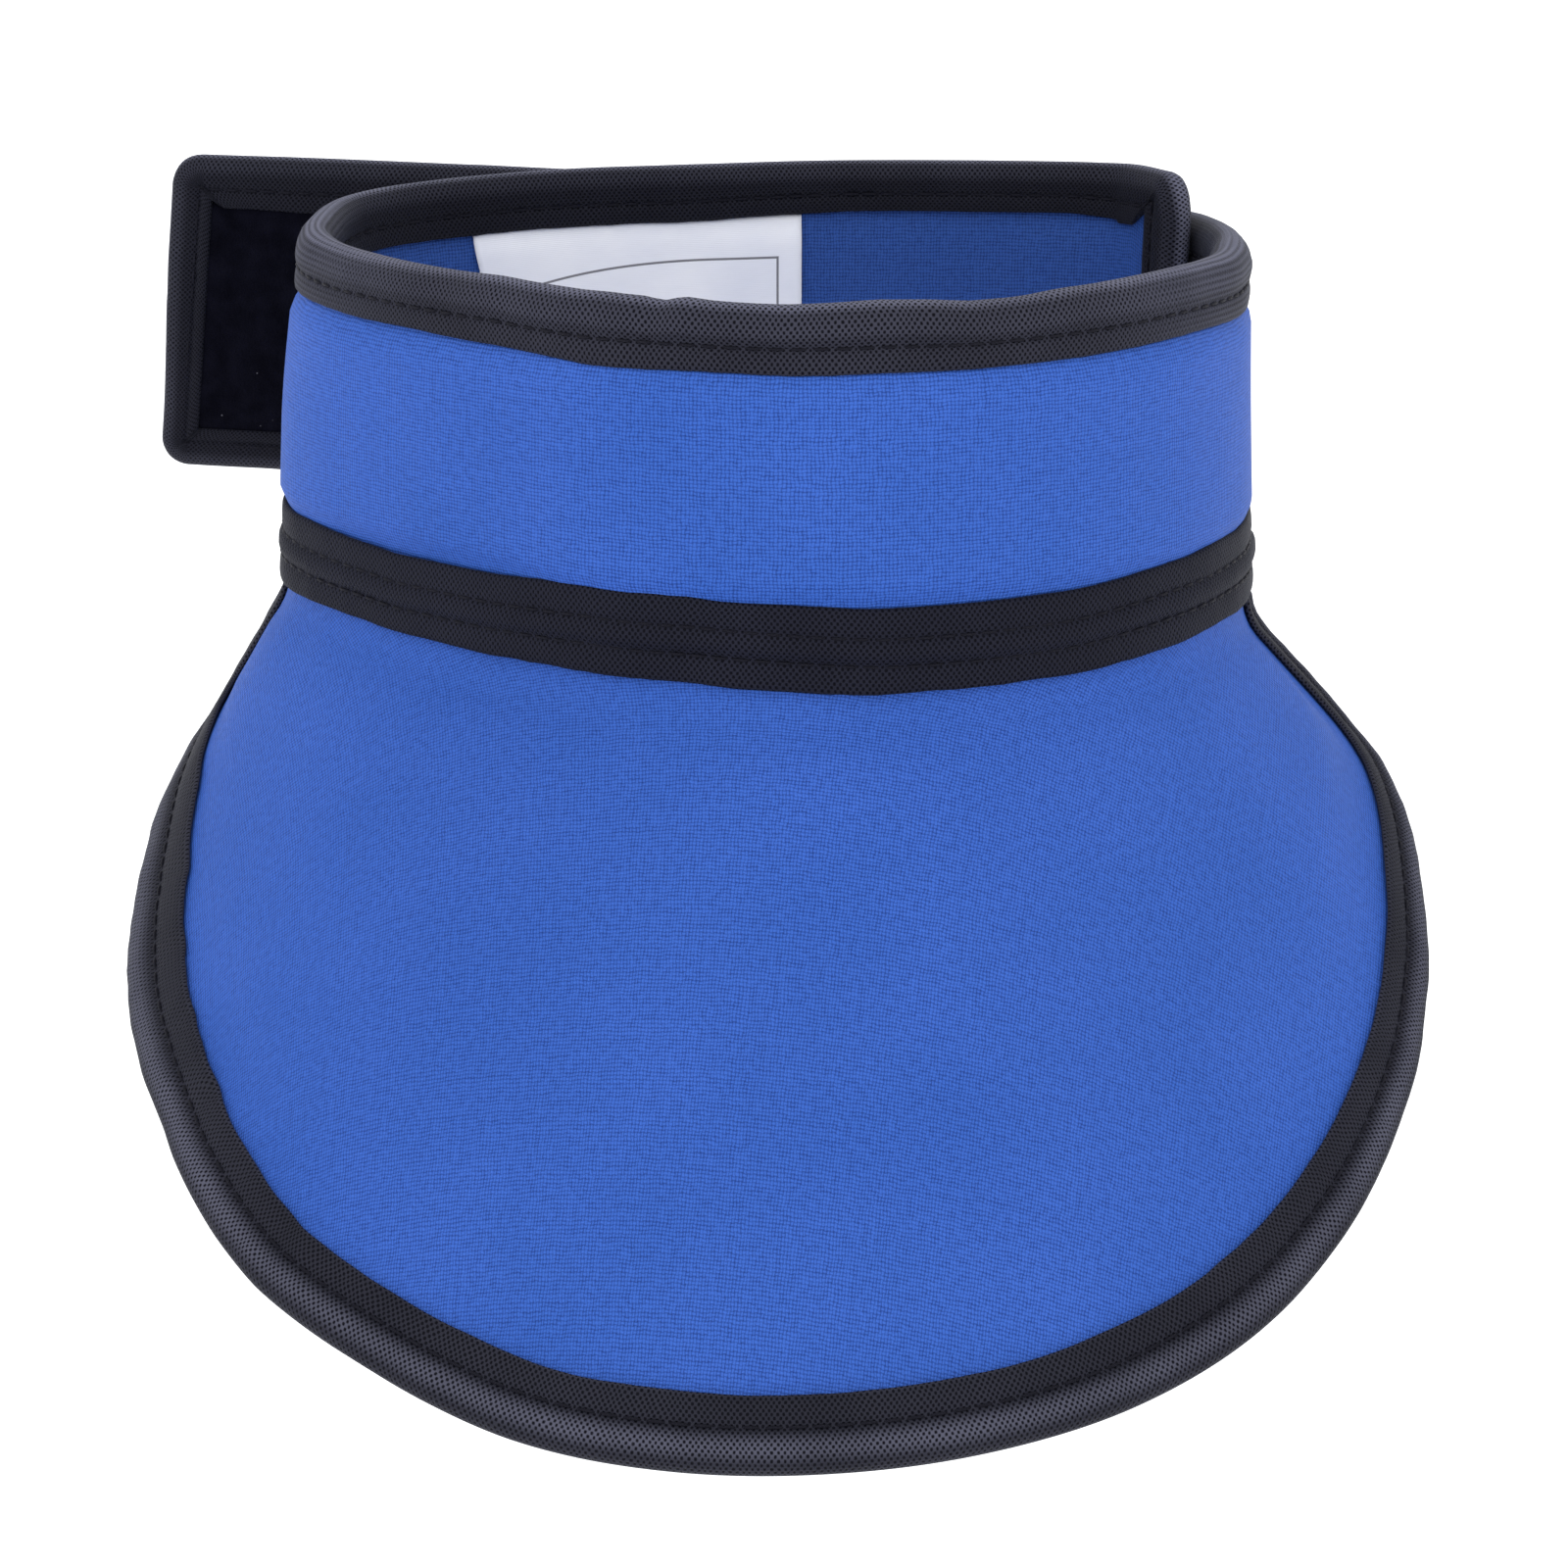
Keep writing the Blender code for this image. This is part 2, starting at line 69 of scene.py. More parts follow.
STRIP_COLUMNS = ("x", "y", "low", "high", "flare", "lean")
STRIP_ROWS = (
    # the inner end, along the back
    (0.0665, 0.0335, -0.0255, 0.0305, 0.0000, 0.03),
    (0.0640, 0.0382, -0.0255, 0.0305, 0.0000, 0.03),
    (0.0608, 0.0437, -0.0256, 0.0304, 0.0000, 0.03),
    (0.0550, 0.0464, -0.0257, 0.0303, 0.0000, 0.02),
    (0.0440, 0.0486, -0.0258, 0.0302, 0.0000, 0.00),
    (0.0270, 0.0503, -0.0259, 0.0301, 0.0000, 0.00),
    (0.0080, 0.0506, -0.0260, 0.0300, 0.0000, 0.00),
    (-0.0140, 0.0486, -0.0263, 0.0297, 0.0000, 0.00),
    (-0.0360, 0.0463, -0.0267, 0.0293, 0.0000, 0.00),
    (-0.0510, 0.0420, -0.0272, 0.0288, 0.0000, 0.00),
    # the left bend
    (-0.0622, 0.0360, -0.0276, 0.0284, 0.0010, 0.00),
    (-0.0690, 0.0282, -0.0278, 0.0281, 0.0025, 0.00),
    (-0.0716, 0.0162, -0.0280, 0.0280, 0.0042, 0.00),
    (-0.0712, 0.0020, -0.0280, 0.0279, 0.0048, 0.00),
    # the front arc
    (-0.0667, -0.0072, -0.0276, 0.0275, 0.0044, 0.00),
    (-0.0545, -0.0201, -0.0268, 0.0273, 0.0038, 0.00),
    (-0.0385, -0.0325, -0.0272, 0.0276, 0.0032, 0.00),
    (-0.0200, -0.0436, -0.0282, 0.0283, 0.0026, 0.00),
    (0.0020, -0.0486, -0.0280, 0.0280, 0.0024, 0.00),
    (0.0220, -0.0470, -0.0280, 0.0280, 0.0026, 0.00),
    (0.0425, -0.0390, -0.0280, 0.0277, 0.0030, 0.00),
    (0.0588, -0.0265, -0.0282, 0.0275, 0.0034, 0.00),
    # the right bend
    (0.0685, -0.0112, -0.0288, 0.0265, 0.0036, 0.00),
    (0.0714, 0.0020, -0.0298, 0.0261, 0.0036, 0.00),
    (0.0725, 0.0180, -0.0314, 0.0249, 0.0031, 0.00),
    (0.0724, 0.0340, -0.0330, 0.0233, 0.0019, 0.00),
    (0.0696, 0.0450, -0.0336, 0.0226, 0.0006, 0.00),
    # outside the inner end, along the back to the tab
    (0.0600, 0.0524, -0.0335, 0.0225, 0.0000, 0.00),
    (0.0440, 0.0558, -0.0328, 0.0232, 0.0000, 0.00),
    (0.0240, 0.0569, -0.0316, 0.0244, 0.0000, 0.00),
    (0.0000, 0.0566, -0.0302, 0.0258, 0.0000, 0.01),
    (-0.0250, 0.0556, -0.0288, 0.0272, 0.0000, 0.04),
    (-0.0500, 0.0553, -0.0276, 0.0284, 0.0000, 0.08),
    (-0.0750, 0.0563, -0.0265, 0.0295, 0.0000, 0.14),
)

# How far the strip is drawn in at the two sides of the neck. On the left it starts above a height, and on
# the right a share of it reaches the lower edge.
LEFT_SIDE = 0.172
LEFT_SIDE_WIDTH = 0.022
LEFT_TUCK = 0.0015
LEFT_TUCK_FROM = 0.024
RIGHT_SIDE = 0.343
RIGHT_SIDE_WIDTH = 0.024
RIGHT_TUCK = 0.0014
RIGHT_TUCK_BELOW = 0.75
RIGHT_TUCK_WHOLE_FROM = 0.016

# The bib's angles in degrees at shares of the seam. They go on past its ends, and they are evened out over a
# share to both sides, so the left slope is drawn a little steeper than in the frame.
BIB_SLOPE_SHARES = (-1.2, -1.0, -0.5, 0.0, 0.5, 1.0, 1.2)
BIB_SLOPES = (23.5, 31.4, 52.3, 42.0, 41.9, 44.6, 45.7)
BIB_TURNS = (30.5, 24.2, 8.5, 0.0, 0.0, 0.5, 0.7)
BIB_CREASE_EVENING = 0.20
BIB_CREASE_SAMPLES = 9
BIB_BEND_RADIUS = 0.0120
BIB_EVENING_STEP = 0.0080
BIB_EVENING_STEPS = 3
BIB_BINDING_WIDTH = 0.0112
BIB_FLAT_RADIUS = 0.075

# The bib's outline: shares of half the seam and distances below the seam on the cloth. Its sides are up to
# 1.5 mm fuller than the frame's.
BIB_EDGE_COLUMNS = ("share", "drop")
BIB_EDGE_ROWS = (
    (-0.985, 0.0008), (-0.985, 0.0130), (-0.978, 0.0266), (-0.942, 0.0362), (-0.899, 0.0411),
    (-0.829, 0.0489), (-0.751, 0.0603), (-0.650, 0.0742), (-0.550, 0.0844), (-0.450, 0.0934),
    (-0.350, 0.1005), (-0.220, 0.1055), (-0.100, 0.1097), (0.000, 0.1108), (0.100, 0.1101),
    (0.200, 0.1083), (0.300, 0.1051), (0.400, 0.0994), (0.500, 0.0901), (0.600, 0.0785),
    (0.700, 0.0657), (0.800, 0.0535), (0.880, 0.0455), (0.940, 0.0393), (0.975, 0.0304),
    (0.985, 0.0143), (0.985, 0.0011),
)

# Unevenness of the cloths: the length of its waves, its size and the seed of its random waves
RIPPLE_COLUMNS = ("length", "size", "seed")
RIPPLES = {
    "neck lip": (0.021, 0.00016, 3),
    "neck lip, fine": (0.0055, 0.00007, 4),
    "neck roll": (0.016, 0.00018, 5),
    "neck roll, fine": (0.006, 0.00008, 6),
    "bib lip": (0.030, 0.00016, 13),
    "bib lip, fine": (0.007, 0.00007, 14),
    "bib roll": (0.022, 0.00020, 15),
    "bib roll, fine": (0.007, 0.00007, 16),
    "strip folds": (0.028, 0.00040, 21),
    "strip puckers": (0.0065, 0.00012, 22),
    "strip waves": (0.045, 0.00022, 23),
    "bib waves": (0.060, 0.00045, 31),
    "bib puckers": (0.0080, 0.00010, 32),
    "seam edge": (0.026, 0.00022, 41),
    "seam edge, fine": (0.006, 0.00007, 42),
    "seam face": (0.018, 0.00016, 43),
    "seam face, fine": (0.006, 0.00006, 44),
    "label waves": (0.030, 0.00022, 51),
}
RIPPLE_WAVES = 6
RIPPLE_SCALES = (0.6, 1.6)
RIPPLE_LAST_SHIFT = 6.28
RIPPLE_TOTAL = 3.5

# Sections of the folded tapes in millimetres: inset from the edge and distance out from the panel's middle
NECK_TAPE_OUTER = (
    (10.30, 1.75), (10.65, 2.15), (10.62, 2.52), (10.25, 2.80), (9.40, 2.94), (8.40, 2.96), (7.50, 2.88),
    (7.00, 2.74), (6.70, 2.60), (6.45, 2.55), (6.20, 2.62), (5.80, 2.80), (5.10, 2.98), (4.10, 3.08),
    (3.00, 3.06), (2.00, 2.86), (1.10, 2.44), (0.40, 1.76), (-0.05, 0.95), (-0.20, 0.00),
)
BIB_TAPE_OUTER = (
    (10.95, 1.75), (11.35, 2.05), (11.30, 2.38), (10.95, 2.60), (10.00, 2.70), (8.80, 2.70), (7.60, 2.62),
    (7.00, 2.48), (6.60, 2.32), (6.35, 2.27), (6.10, 2.35), (5.70, 2.58), (5.00, 2.82), (4.00, 2.98),
    (2.90, 2.98), (1.90, 2.76), (1.00, 2.32), (0.35, 1.66), (-0.05, 0.88), (-0.20, 0.00),
)
TAPE_INSIDE = ((3.60, 1.72), (2.20, 1.55), (1.35, 0.90), (1.10, 0.00))

# The outer lips' insets as drawn above, and the inset where a leg starts to stretch, in millimetres
LIP_INSET = 10.65
BIB_LIP_INSET = 11.35
LIP_START = 2.0

# The width of the neck tape's inner leg in millimetres
LEG_TOP = 9.3
LEG_BOTTOM = 7.9
LEG_TAB_END = 7.4
LEG_BACK = 8.1
LEG_INNER_END = 5.8

# Ranges of inset, or of distance out, over which one part of a tape's section passes into the next
ROLL_FADE = (0.0045, 0.0070)
NECK_LIP_FADE = (0.007, 0.010)
BIB_LIP_FADE = (0.008, 0.011)
SAG_FADE = (0.003, 0.0085)
FOLD_FADE = (0.0015, 0.0045)
EDGE_FADE = (0.0003, 0.0015)
TOP_EDGE_FADE = 0.004

# The neck tape's corners: a wider turn at the tab, mitres that stand out, and ends that reach past the strip
TAB_CORNER_RADIUS = 0.0058
FAN_COLUMNS = 8
END_COLUMNS = 27
MITRE_TURNS = (88, 80, 70, 60, 52, 47, 45.5, 44.5, 43, 38, 30, 20, 10, 2)
MITRE_SIDES = ((80, 47), (43, 46))
FOLD_RISE = 0.00035
FOLD_FROM_OUT = 0.0019
INNER_END_REACH = 0.0016
TAB_END_REACH = 0.0008
NECK_BINDING_GAP = 0.00005

# The stitched grooves: insets and distances out
GROOVE_INSET = 0.00645
STITCH_OUT = 0.00263
BIB_GROOVE_INSET = 0.00635
BIB_STITCH_OUT = 0.00236

# The bib tape's ends: how high they may reach, how far they are lifted and the share of their thickness left
BIB_BINDING_TOP = -0.0008
BIB_END_LIFT = 0.0016
BIB_END_LENGTH = 0.005
BIB_END_SHARE = 0.76
BIB_END_FULL_DROP = 0.0014

# The neck tape along the top edge, in millimetres: how far its roll sags and its outer lip reaches down,
# and how far the roll sags along the lower edge
RIM_COLUMNS = ("along", "sag", "lip", "sag_below")
RIM_ROWS = (
    (0.0, 0.0, 9.9, 0.0), (150.0, 0.2, 9.6, 0.0), (179.5, 0.2, 9.3, 0.0), (205.5, 0.2, 9.1, 0.0),
    (224.5, 0.3, 9.4, 0.0), (241.0, 1.2, 10.6, 0.0), (255.0, 1.2, 10.3, 0.0), (268.0, 1.3, 10.2, 0.0),
    (281.0, 0.7, 10.1, 0.0), (294.0, 1.4, 10.0, 0.0), (309.0, 0.6, 9.9, 0.0), (326.5, 0.4, 9.6, 0.0),
    (360.0, 0.2, 9.6, 0.0), (530.0, 0.1, 9.9, 0.2), (565.0, 0.5, 9.9, 0.8), (585.0, 0.9, 9.9, 0.8),
)

# Puckers in the front of the rim, in millimetres: place along, width, rise of the roll and push outward
TUCK_COLUMNS = ("along", "width", "rise", "push")
TUCK_ROWS = (
    (215.5, 3.0, 0.00, -0.40),
    (222.0, 4.0, 0.10, 0.15),
    (241.0, 2.5, 0.15, -0.30),
    (250.0, 1.8, -0.45, -0.85),
    (253.5, 2.2, 0.25, 0.20),
    (287.0, 4.0, 0.15, 0.10),
    (301.0, 5.0, -0.20, -0.20),
)
TUCK_SLANT = 0.35
TUCK_INSET = 0.003

# How far the bib tape's lip reaches in from the edge, in millimetres, at distances round the edge
BIB_LIP_COLUMNS = ("travel", "lip")
BIB_LIP_ROWS = (
    (0.0, 11.0), (25.0, 14.0), (50.0, 15.6), (80.0, 14.4), (110.0, 12.4), (130.0, 10.8),
    (160.0, 10.2), (205.0, 9.9), (270.0, 10.0), (310.0, 10.7), (345.0, 10.1), (375.0, 9.7),
    (410.0, 8.8), (440.0, 8.0), (460.0, 8.2),
)

# The seam tape's wander up and down the strip, in millimetres
SEAM_WANDER_COLUMNS = ("along", "rise")
SEAM_WANDER_ROWS = (
    (159.0, 0.0), (185.0, -0.6), (205.5, -1.8), (224.5, -1.0), (241.0, 0.5), (255.0, 0.7),
    (268.0, 0.0), (281.0, -0.8), (309.0, -0.8), (327.0, 0.0), (367.0, 0.0),
)
SEAM_MIDDLE = 6.85
SEAM_SQUEEZE_MARKS = (SEAM_START, SEAM_START + 0.010, SEAM_END - 0.010, SEAM_END)
SEAM_SQUEEZES = (1.0, 0.9, 0.9, 1.0)
SEAM_EDGE_MIDDLE = 0.0068
SEAM_EDGE_FADE = (0.0045, 0.0068)
SEAM_FACE_FADE = (0.0022, 0.0028)

# The seam tapes' sections in millimetres: height above the strip's lower edge and distance out
SEAM_SECTION = (
    (13.60, 1.95), (13.95, 2.20), (13.80, 2.62), (13.20, 2.84), (11.80, 2.92), (10.20, 2.90), (9.40, 2.78),
    (9.00, 2.62), (8.70, 2.80), (8.20, 3.16), (7.30, 3.42), (6.40, 3.44), (5.50, 3.20), (4.90, 2.86),
    (4.50, 2.72), (4.10, 2.82), (3.20, 3.02), (2.00, 3.06), (0.90, 3.04), (0.20, 2.96), (-0.20, 2.70),
    (-0.25, 2.35), (0.10, 2.05), (6.00, 1.98),
)
SEAM_BACKING_SECTION = (
    (12.9, 1.95), (13.1, 2.2), (12.9, 2.55), (9.0, 2.72), (4.0, 2.72), (0.4, 2.60), (0.1, 2.3), (0.4, 1.95),
)
SEAM_STITCH_COLUMNS = ("name", "height", "out")
SEAM_STITCH_ROWS = (
    ("seam_stitches_low", 0.0045, 0.00280),
    ("seam_stitches_high", 0.0090, 0.00268),
)
BACKING_STITCH_ROWS = (
    ("seam_stitches_inner_low", 0.0025, -0.00275),
    ("seam_stitches_inner_high", 0.0105, -0.00275),
)

# Rows of one stitch, from where it dips into the cloth to where it dips in again: place on its length, and
# rise and thickness as shares of the thread's radius
STITCH_ROWS = (
    (0.00, -1.00, 0.45),
    (0.12, 0.00, 0.85),
    (0.35, 0.55, 1.00),
    (0.65, 0.55, 1.00),
    (0.88, 0.00, 0.85),
    (1.00, -1.00, 0.45),
)
STITCH_PITCH = 0.0031
STITCH_SHARE = 0.80
STITCH_RADIUS = 0.00021
STITCH_SIDES = 8
STITCH_LOOK_AHEAD = 0.0002
NORMAL_REACH = 0.001

# The padding: how far the bindings and the seam tape hold it down, and how far it swells beyond them
BINDING_HOLD = 0.0106
SEAM_HOLD = 0.0131
SEAM_HOLD_RUN = 0.002
SWELL_FADE = (-0.0018, 0.0024)
STRIP_OUTER_SWELL = 0.0018
STRIP_SIDE_SWELL_LOSS = 0.0003
STRIP_INNER_SWELL = 0.0006
BIB_OUTER_SWELL = 0.0008
BIB_INNER_SWELL = 0.0005
BIB_SWELL_RUN = 0.012
BIB_SWELL_FROM = 0.0005
PANEL_ROWS = 27
PANEL_BEVEL_RUN = 0.008
SEAM_STEP_RUN = 0.003
BIB_TUCKED_INSETS = (9.5, 7.8, 6.0, 4.2, 2.4)
# How far the neck panel's inner face lies beyond its outer face in v, so that it takes the painted shade
INNER_FACE_V_OFFSET = 0.08

# The fastener's patches: places, margins to the strip's edges and the outs of their two faces
LOOP_PATCH_LENGTH = 0.1400
LOOP_PATCH_FROM_END = 0.0109
LOOP_PATCH_END = 0.0064
LOOP_PATCH_LOW = 0.0068
LOOP_PATCH_HIGH = 0.0080
LOOP_PATCH_OUTS = (-0.00160, -0.00265)
HOOK_PATCH_START = 0.0140
HOOK_PATCH_LENGTH = 0.0800
HOOK_PATCH_MARGIN = 0.0109
HOOK_PATCH_OUTS = (0.00160, 0.00270)
PATCH_ROWS = 21
PATCH_RIM = 0.0016
PATCH_RIM_SHARE = 0.35

# The care label, whose top edge is caught under the neck binding. Its left edge hangs in a soft wave.
LABEL_START = 0.0687
LABEL_LENGTH = 0.0575
LABEL_HEIGHT = 0.0310
LABEL_LEFT_HEM = 0.0012
LABEL_TOP_INSET = 0.0086
LABEL_SLACK = 0.0023
LABEL_ROWS = 33
LABEL_THICKNESS = 0.00030
LABEL_LIFT = 0.0003
LABEL_GAP = 0.0001
LABEL_SIDE_RUN = 0.012
LABEL_EDGE_WAVE = 0.0006
LABEL_EDGE_WAVE_LENGTH = 0.0045
LABEL_EDGE_DRAW = 0.0016

# The label's printed frame in millimetres. Its level lines bend down from a place along.
FRAME_HALF_LENGTH = LABEL_LENGTH / MM / 2 - 4.2
FRAME_HALF_HEIGHT = 8.5
FRAME_TOP = 7.0
FRAME_LINE = 0.20
FRAME_BEND_FROM = 15.0
FRAME_BEND = 0.0033
FRAME_INK = 0.85

# Colours
NYLON_LIGHT = (0.041, 0.124, 0.520, 1.0)
NYLON_DARK = (0.033, 0.111, 0.472, 1.0)
NYLON_SHADE = (0.000, 0.012, 0.110, 1.0)
# Painted shade: a darker blue and darker weave pits for the neck panel's inner face, inside the collar
INSIDE_SHADE_NYLON = (0.024, 0.078, 0.310, 1.0)
INSIDE_SHADE_NYLON_PITS = (0.005, 0.022, 0.120, 1.0)
NECK_TAPE_CROWN = (0.120, 0.123, 0.176, 1.0)
BIB_TAPE_CROWN = (0.084, 0.086, 0.122, 1.0)
SEAM_TAPE_CROWN = (0.018, 0.019, 0.032, 1.0)
TAPE_PIT = (0.0015, 0.0015, 0.0040, 1.0)
THREAD_DARK = (0.004, 0.004, 0.008, 1.0)
THREAD_LIGHT = (0.016, 0.016, 0.026, 1.0)
PILE_DARK = (0.0010, 0.0010, 0.0030, 1.0)
PILE_LIGHT = (0.0035, 0.0035, 0.0080, 1.0)
PILE_LINT = (0.10, 0.10, 0.12, 1.0)
HOOK_GROUND = (0.006, 0.006, 0.010, 1.0)
HOOK_LIGHT = (0.030, 0.030, 0.040, 1.0)
SATIN_DULL = (0.700, 0.720, 0.800, 1.0)
SATIN_WHITE = (0.800, 0.810, 0.860, 1.0)
PRINT = (0.060, 0.058, 0.070, 1.0)

# Finishes, as values of the shader's own sockets
NYLON_FINISH = {
    "Roughness": 0.62, "Specular IOR Level": 0.15, "Sheen Weight": 0.05, "Sheen Roughness": 0.35,
    "Sheen Tint": (0.45, 0.60, 1.0, 1.0),
}
TAPE_FINISH = {
    "Roughness": 0.60, "Specular IOR Level": 0.06, "Sheen Weight": 0.04, "Sheen Roughness": 0.30,
    "Sheen Tint": (0.75, 0.80, 1.0, 1.0),
}
THREAD_FINISH = {"Roughness": 0.42, "Specular IOR Level": 0.12}
PILE_FINISH = {"Roughness": 0.95, "Specular IOR Level": 0.04}
HOOK_FINISH = {"Roughness": 0.55}
SATIN_FINISH = {"Roughness": 0.38, "Sheen Weight": 0.2}
FLOOR_FINISH = {
    "Base Color": (0.93, 0.93, 0.94, 1.0), "Roughness": 0.9, "Emission Color": (1.0, 1.0, 1.0, 1.0),
    "Emission Strength": 0.30,
}

# Weaves and ribs in millimetres of cloth
NYLON_PITCHES = (0.54, 0.58)
NYLON_DRIFT = 0.72
TAPE_ROW_PITCH = 1.20
TAPE_PIT_PITCH = 0.84
TAPE_RIB_PITCH = 1.05
TAPE_DRIFT = 1.1
THREAD_PITCH = 0.45
HOOK_PITCH = 1.3
SATIN_PITCH = 0.30
# The v beyond which the neck panel's cloth is its inner face, painted darker as shade
INSIDE_SHADE_FROM = 75.0

# Where a tape's tone is painted lighter or darker across it, in millimetres, and by how much: the rises are a
# painted highlight on the roll where it faces the light, the falls painted shade round the rest of the roll
# and on the inner leg, and the bib tape's first step darkens its lip
TAPE_STEP_COLUMNS = ("low", "high", "change")
NECK_TAPE_LIGHT_STEPS = ((7.0, 8.2, 0.12), (11.2, 12.6, 0.60), (14.0, 15.4, -0.74), (17.0, 19.0, -0.11))
BIB_TAPE_LIGHT_STEPS = ((0.7, 1.6, -0.18), (6.6, 8.6, 0.66), (9.8, 11.6, -0.62))
# Places along the neck tape, in millimetres, where it is painted paler at the neck's two bends, a painted
# highlight
NECK_TAPE_LIT_BENDS = (508.0, 681.0)

# The studio
FLOOR_SIZE = 40.0
FLOOR_HEIGHT = -0.30
SKY_COLOUR = (0.99, 0.995, 1.0, 1.0)
SKY_STRENGTH = 1.0
SUN_COLUMNS = ("name", "energy", "spread", "turn")
SUN_ROWS = (
    ("key_light", 0.75, 50.0, (48.0, 0.0, -8.0)),
    ("left_light", 0.25, 80.0, (55.0, 0.0, -70.0)),
    ("right_light", 0.20, 80.0, (55.0, 0.0, 70.0)),
    ("back_light", 0.25, 40.0, (-40.0, 0.0, 0.0)),
)
CAMERA_PLACE = (0.002, -0.425, 0.1083)
CAMERA_PITCH = 22.0
CAMERA_LENS = 63.72
CAMERA_SENSOR = 36.0
CAMERA_NEAREST = 0.01

collection = bpy.context.scene.collection


def named(columns, row):
    """A table's row as a dictionary from column to value."""
    return dict(zip(columns, row))


def ramp(value, start, end):
    """0 before start, 1 after end, and smooth between."""
    t = np.clip((value - start) / (end - start), 0.0, 1.0)
    return t * t * (3.0 - 2.0 * t)


def hump(value, middle, width):
    """1 at the middle, fading to nothing within about two widths."""
    return np.exp(-((value - middle) / width) ** 2)


def unit(vectors):
    """The same directions at length 1."""
    return vectors / (np.linalg.norm(vectors, axis=-1, keepdims=True) + TINY)


def spaced(start, end, step):
    """Evenly spaced values, about a step apart."""
    return np.linspace(start, end, max(2, round(abs(end - start) / step) + 1))


def ripple(name, u, v):
    """Soft unevenness in metres, a sum of random waves in all directions."""
    row = named(RIPPLE_COLUMNS, RIPPLES[name])
    dice = np.random.default_rng(row["seed"])
    total = 0.0
    for _ in range(RIPPLE_WAVES):
        turn = dice.uniform(0.0, math.pi)
        scale = dice.uniform(*RIPPLE_SCALES) * 2.0 * math.pi / row["length"]
        level = u * math.cos(turn) + v * math.sin(turn)
        total = total + np.sin(scale * level + dice.uniform(0.0, RIPPLE_LAST_SHIFT))
    return total / RIPPLE_TOTAL * row["size"]


def smooth_curve(rows):
    """A centripetal Catmull-Rom curve through the rows, with every column treated alike."""
    points = np.array(rows, dtype=float)
    points = np.vstack([2 * points[0] - points[1], points, 2 * points[-1] - points[-2]])
    samples = []
    for i in range(1, len(points) - 2):
        p0, p1, p2, p3 = points[i - 1:i + 3]
        t1 = math.sqrt(np.linalg.norm(p1 - p0))
        t2 = t1 + math.sqrt(np.linalg.norm(p2 - p1))
        t3 = t2 + math.sqrt(np.linalg.norm(p3 - p2))
        for t in np.linspace(t1, t2, SPAN_SAMPLES, endpoint=False):
            a1 = p0 + (p1 - p0) * t / t1
            a2 = p1 + (p2 - p1) * (t - t1) / (t2 - t1)
            a3 = p2 + (p3 - p2) * (t - t2) / (t3 - t2)
            b1 = a1 + (a2 - a1) * t / t2
            b2 = a2 + (a3 - a2) * (t - t1) / (t3 - t1)
            samples.append(b1 + (b2 - b1) * (t - t1) / (t2 - t1))
    samples.append(points[-2])
    return np.array(samples)


def lengths_along(points):
    """The length from the first point to each point."""
    return np.concatenate([[0.0], np.cumsum(np.linalg.norm(np.diff(points, axis=0), axis=1))])


def strip_curve():
    """The strip's dense middle line with the tab's straight run, and its lengths so far."""
    line = smooth_curve(STRIP_ROWS)
    step = line[-1] - line[-2]
    step *= TAB_STRAIGHT / np.linalg.norm(step[:2])
    step[STRIP_COLUMNS.index("flare")] = 0.0
    step[STRIP_COLUMNS.index("lean")] = 0.0
    line = np.vstack([line, line[-1] + step])
    return line, lengths_along(line[:, :2])


STRIP_LINE, STRIP_LENGTHS = strip_curve()
STRIP_LENGTH = STRIP_LENGTHS[-1]


def strip_value(along, column):
    """One column of the strip's table at places along it, carried on straight past either end."""
    values = STRIP_LINE[:, STRIP_COLUMNS.index(column)]
    first_slope = (values[1] - values[0]) / STRIP_LENGTHS[1]
    last_slope = (values[-1] - values[-2]) / (STRIP_LENGTHS[-1] - STRIP_LENGTHS[-2])
    before = np.minimum(along, 0.0) * first_slope
    after = np.maximum(along - STRIP_LENGTH, 0.0) * last_slope
    return np.interp(along, STRIP_LENGTHS, values) + before + after


def outward(along):
    """Unit level directions that point away from the neck, as arrays of x and y."""
    dx = strip_value(along + TANGENT_REACH, "x") - strip_value(along - TANGENT_REACH, "x")
    dy = strip_value(along + TANGENT_REACH, "y") - strip_value(along - TANGENT_REACH, "y")
    size = np.hypot(dx, dy)
    return dy / size, -dx / size


def shoulder_tuck(along, up):
    """How far the strip is drawn in at the two sides of the neck."""
    left = LEFT_TUCK * hump(along, LEFT_SIDE, LEFT_SIDE_WIDTH) * ramp(up, LEFT_TUCK_FROM, STRIP_HEIGHT)
    height_share = np.interp(up, (0.0, RIGHT_TUCK_WHOLE_FROM), (RIGHT_TUCK_BELOW, 1.0))
    return left + RIGHT_TUCK * hump(along, RIGHT_SIDE, RIGHT_SIDE_WIDTH) * height_share


def strip_surface(along, up, out):
    """Points of the strip: places along, heights above the lower edge, distances outward."""
    along, up, out = np.broadcast_arrays(along, up, out)
    out = out - shoulder_tuck(along, up)
    place = along - (up - STRIP_HEIGHT / 2) * strip_value(along, "lean")
    share = up / STRIP_HEIGHT
    low = strip_value(along, "low")
    high = strip_value(along, "high")
    away = strip_value(along, "flare") * (1.0 - share) + out
    nx, ny = outward(place)
    x = strip_value(place, "x") + nx * away
    y = strip_value(place, "y") + ny * away
    return np.stack([x, y, low + share * (high - low)], axis=-1)


def seam_share(along):
    """-1 at the seam's left end, 0 at its middle and 1 at its right end."""
    return (along - (SEAM_START + SEAM_END) / 2) / ((SEAM_END - SEAM_START) / 2)


def flare_angle(along, angles):
    """One of the bib's angles along the seam, in radians, evened out so that the cloth has no crease."""
    shifts = np.linspace(-BIB_CREASE_EVENING, BIB_CREASE_EVENING, BIB_CREASE_SAMPLES)
    share = seam_share(along)
    total = sum(np.interp(share + shift, BIB_SLOPE_SHARES, angles) for shift in shifts)
    return np.radians(total / BIB_CREASE_SAMPLES)


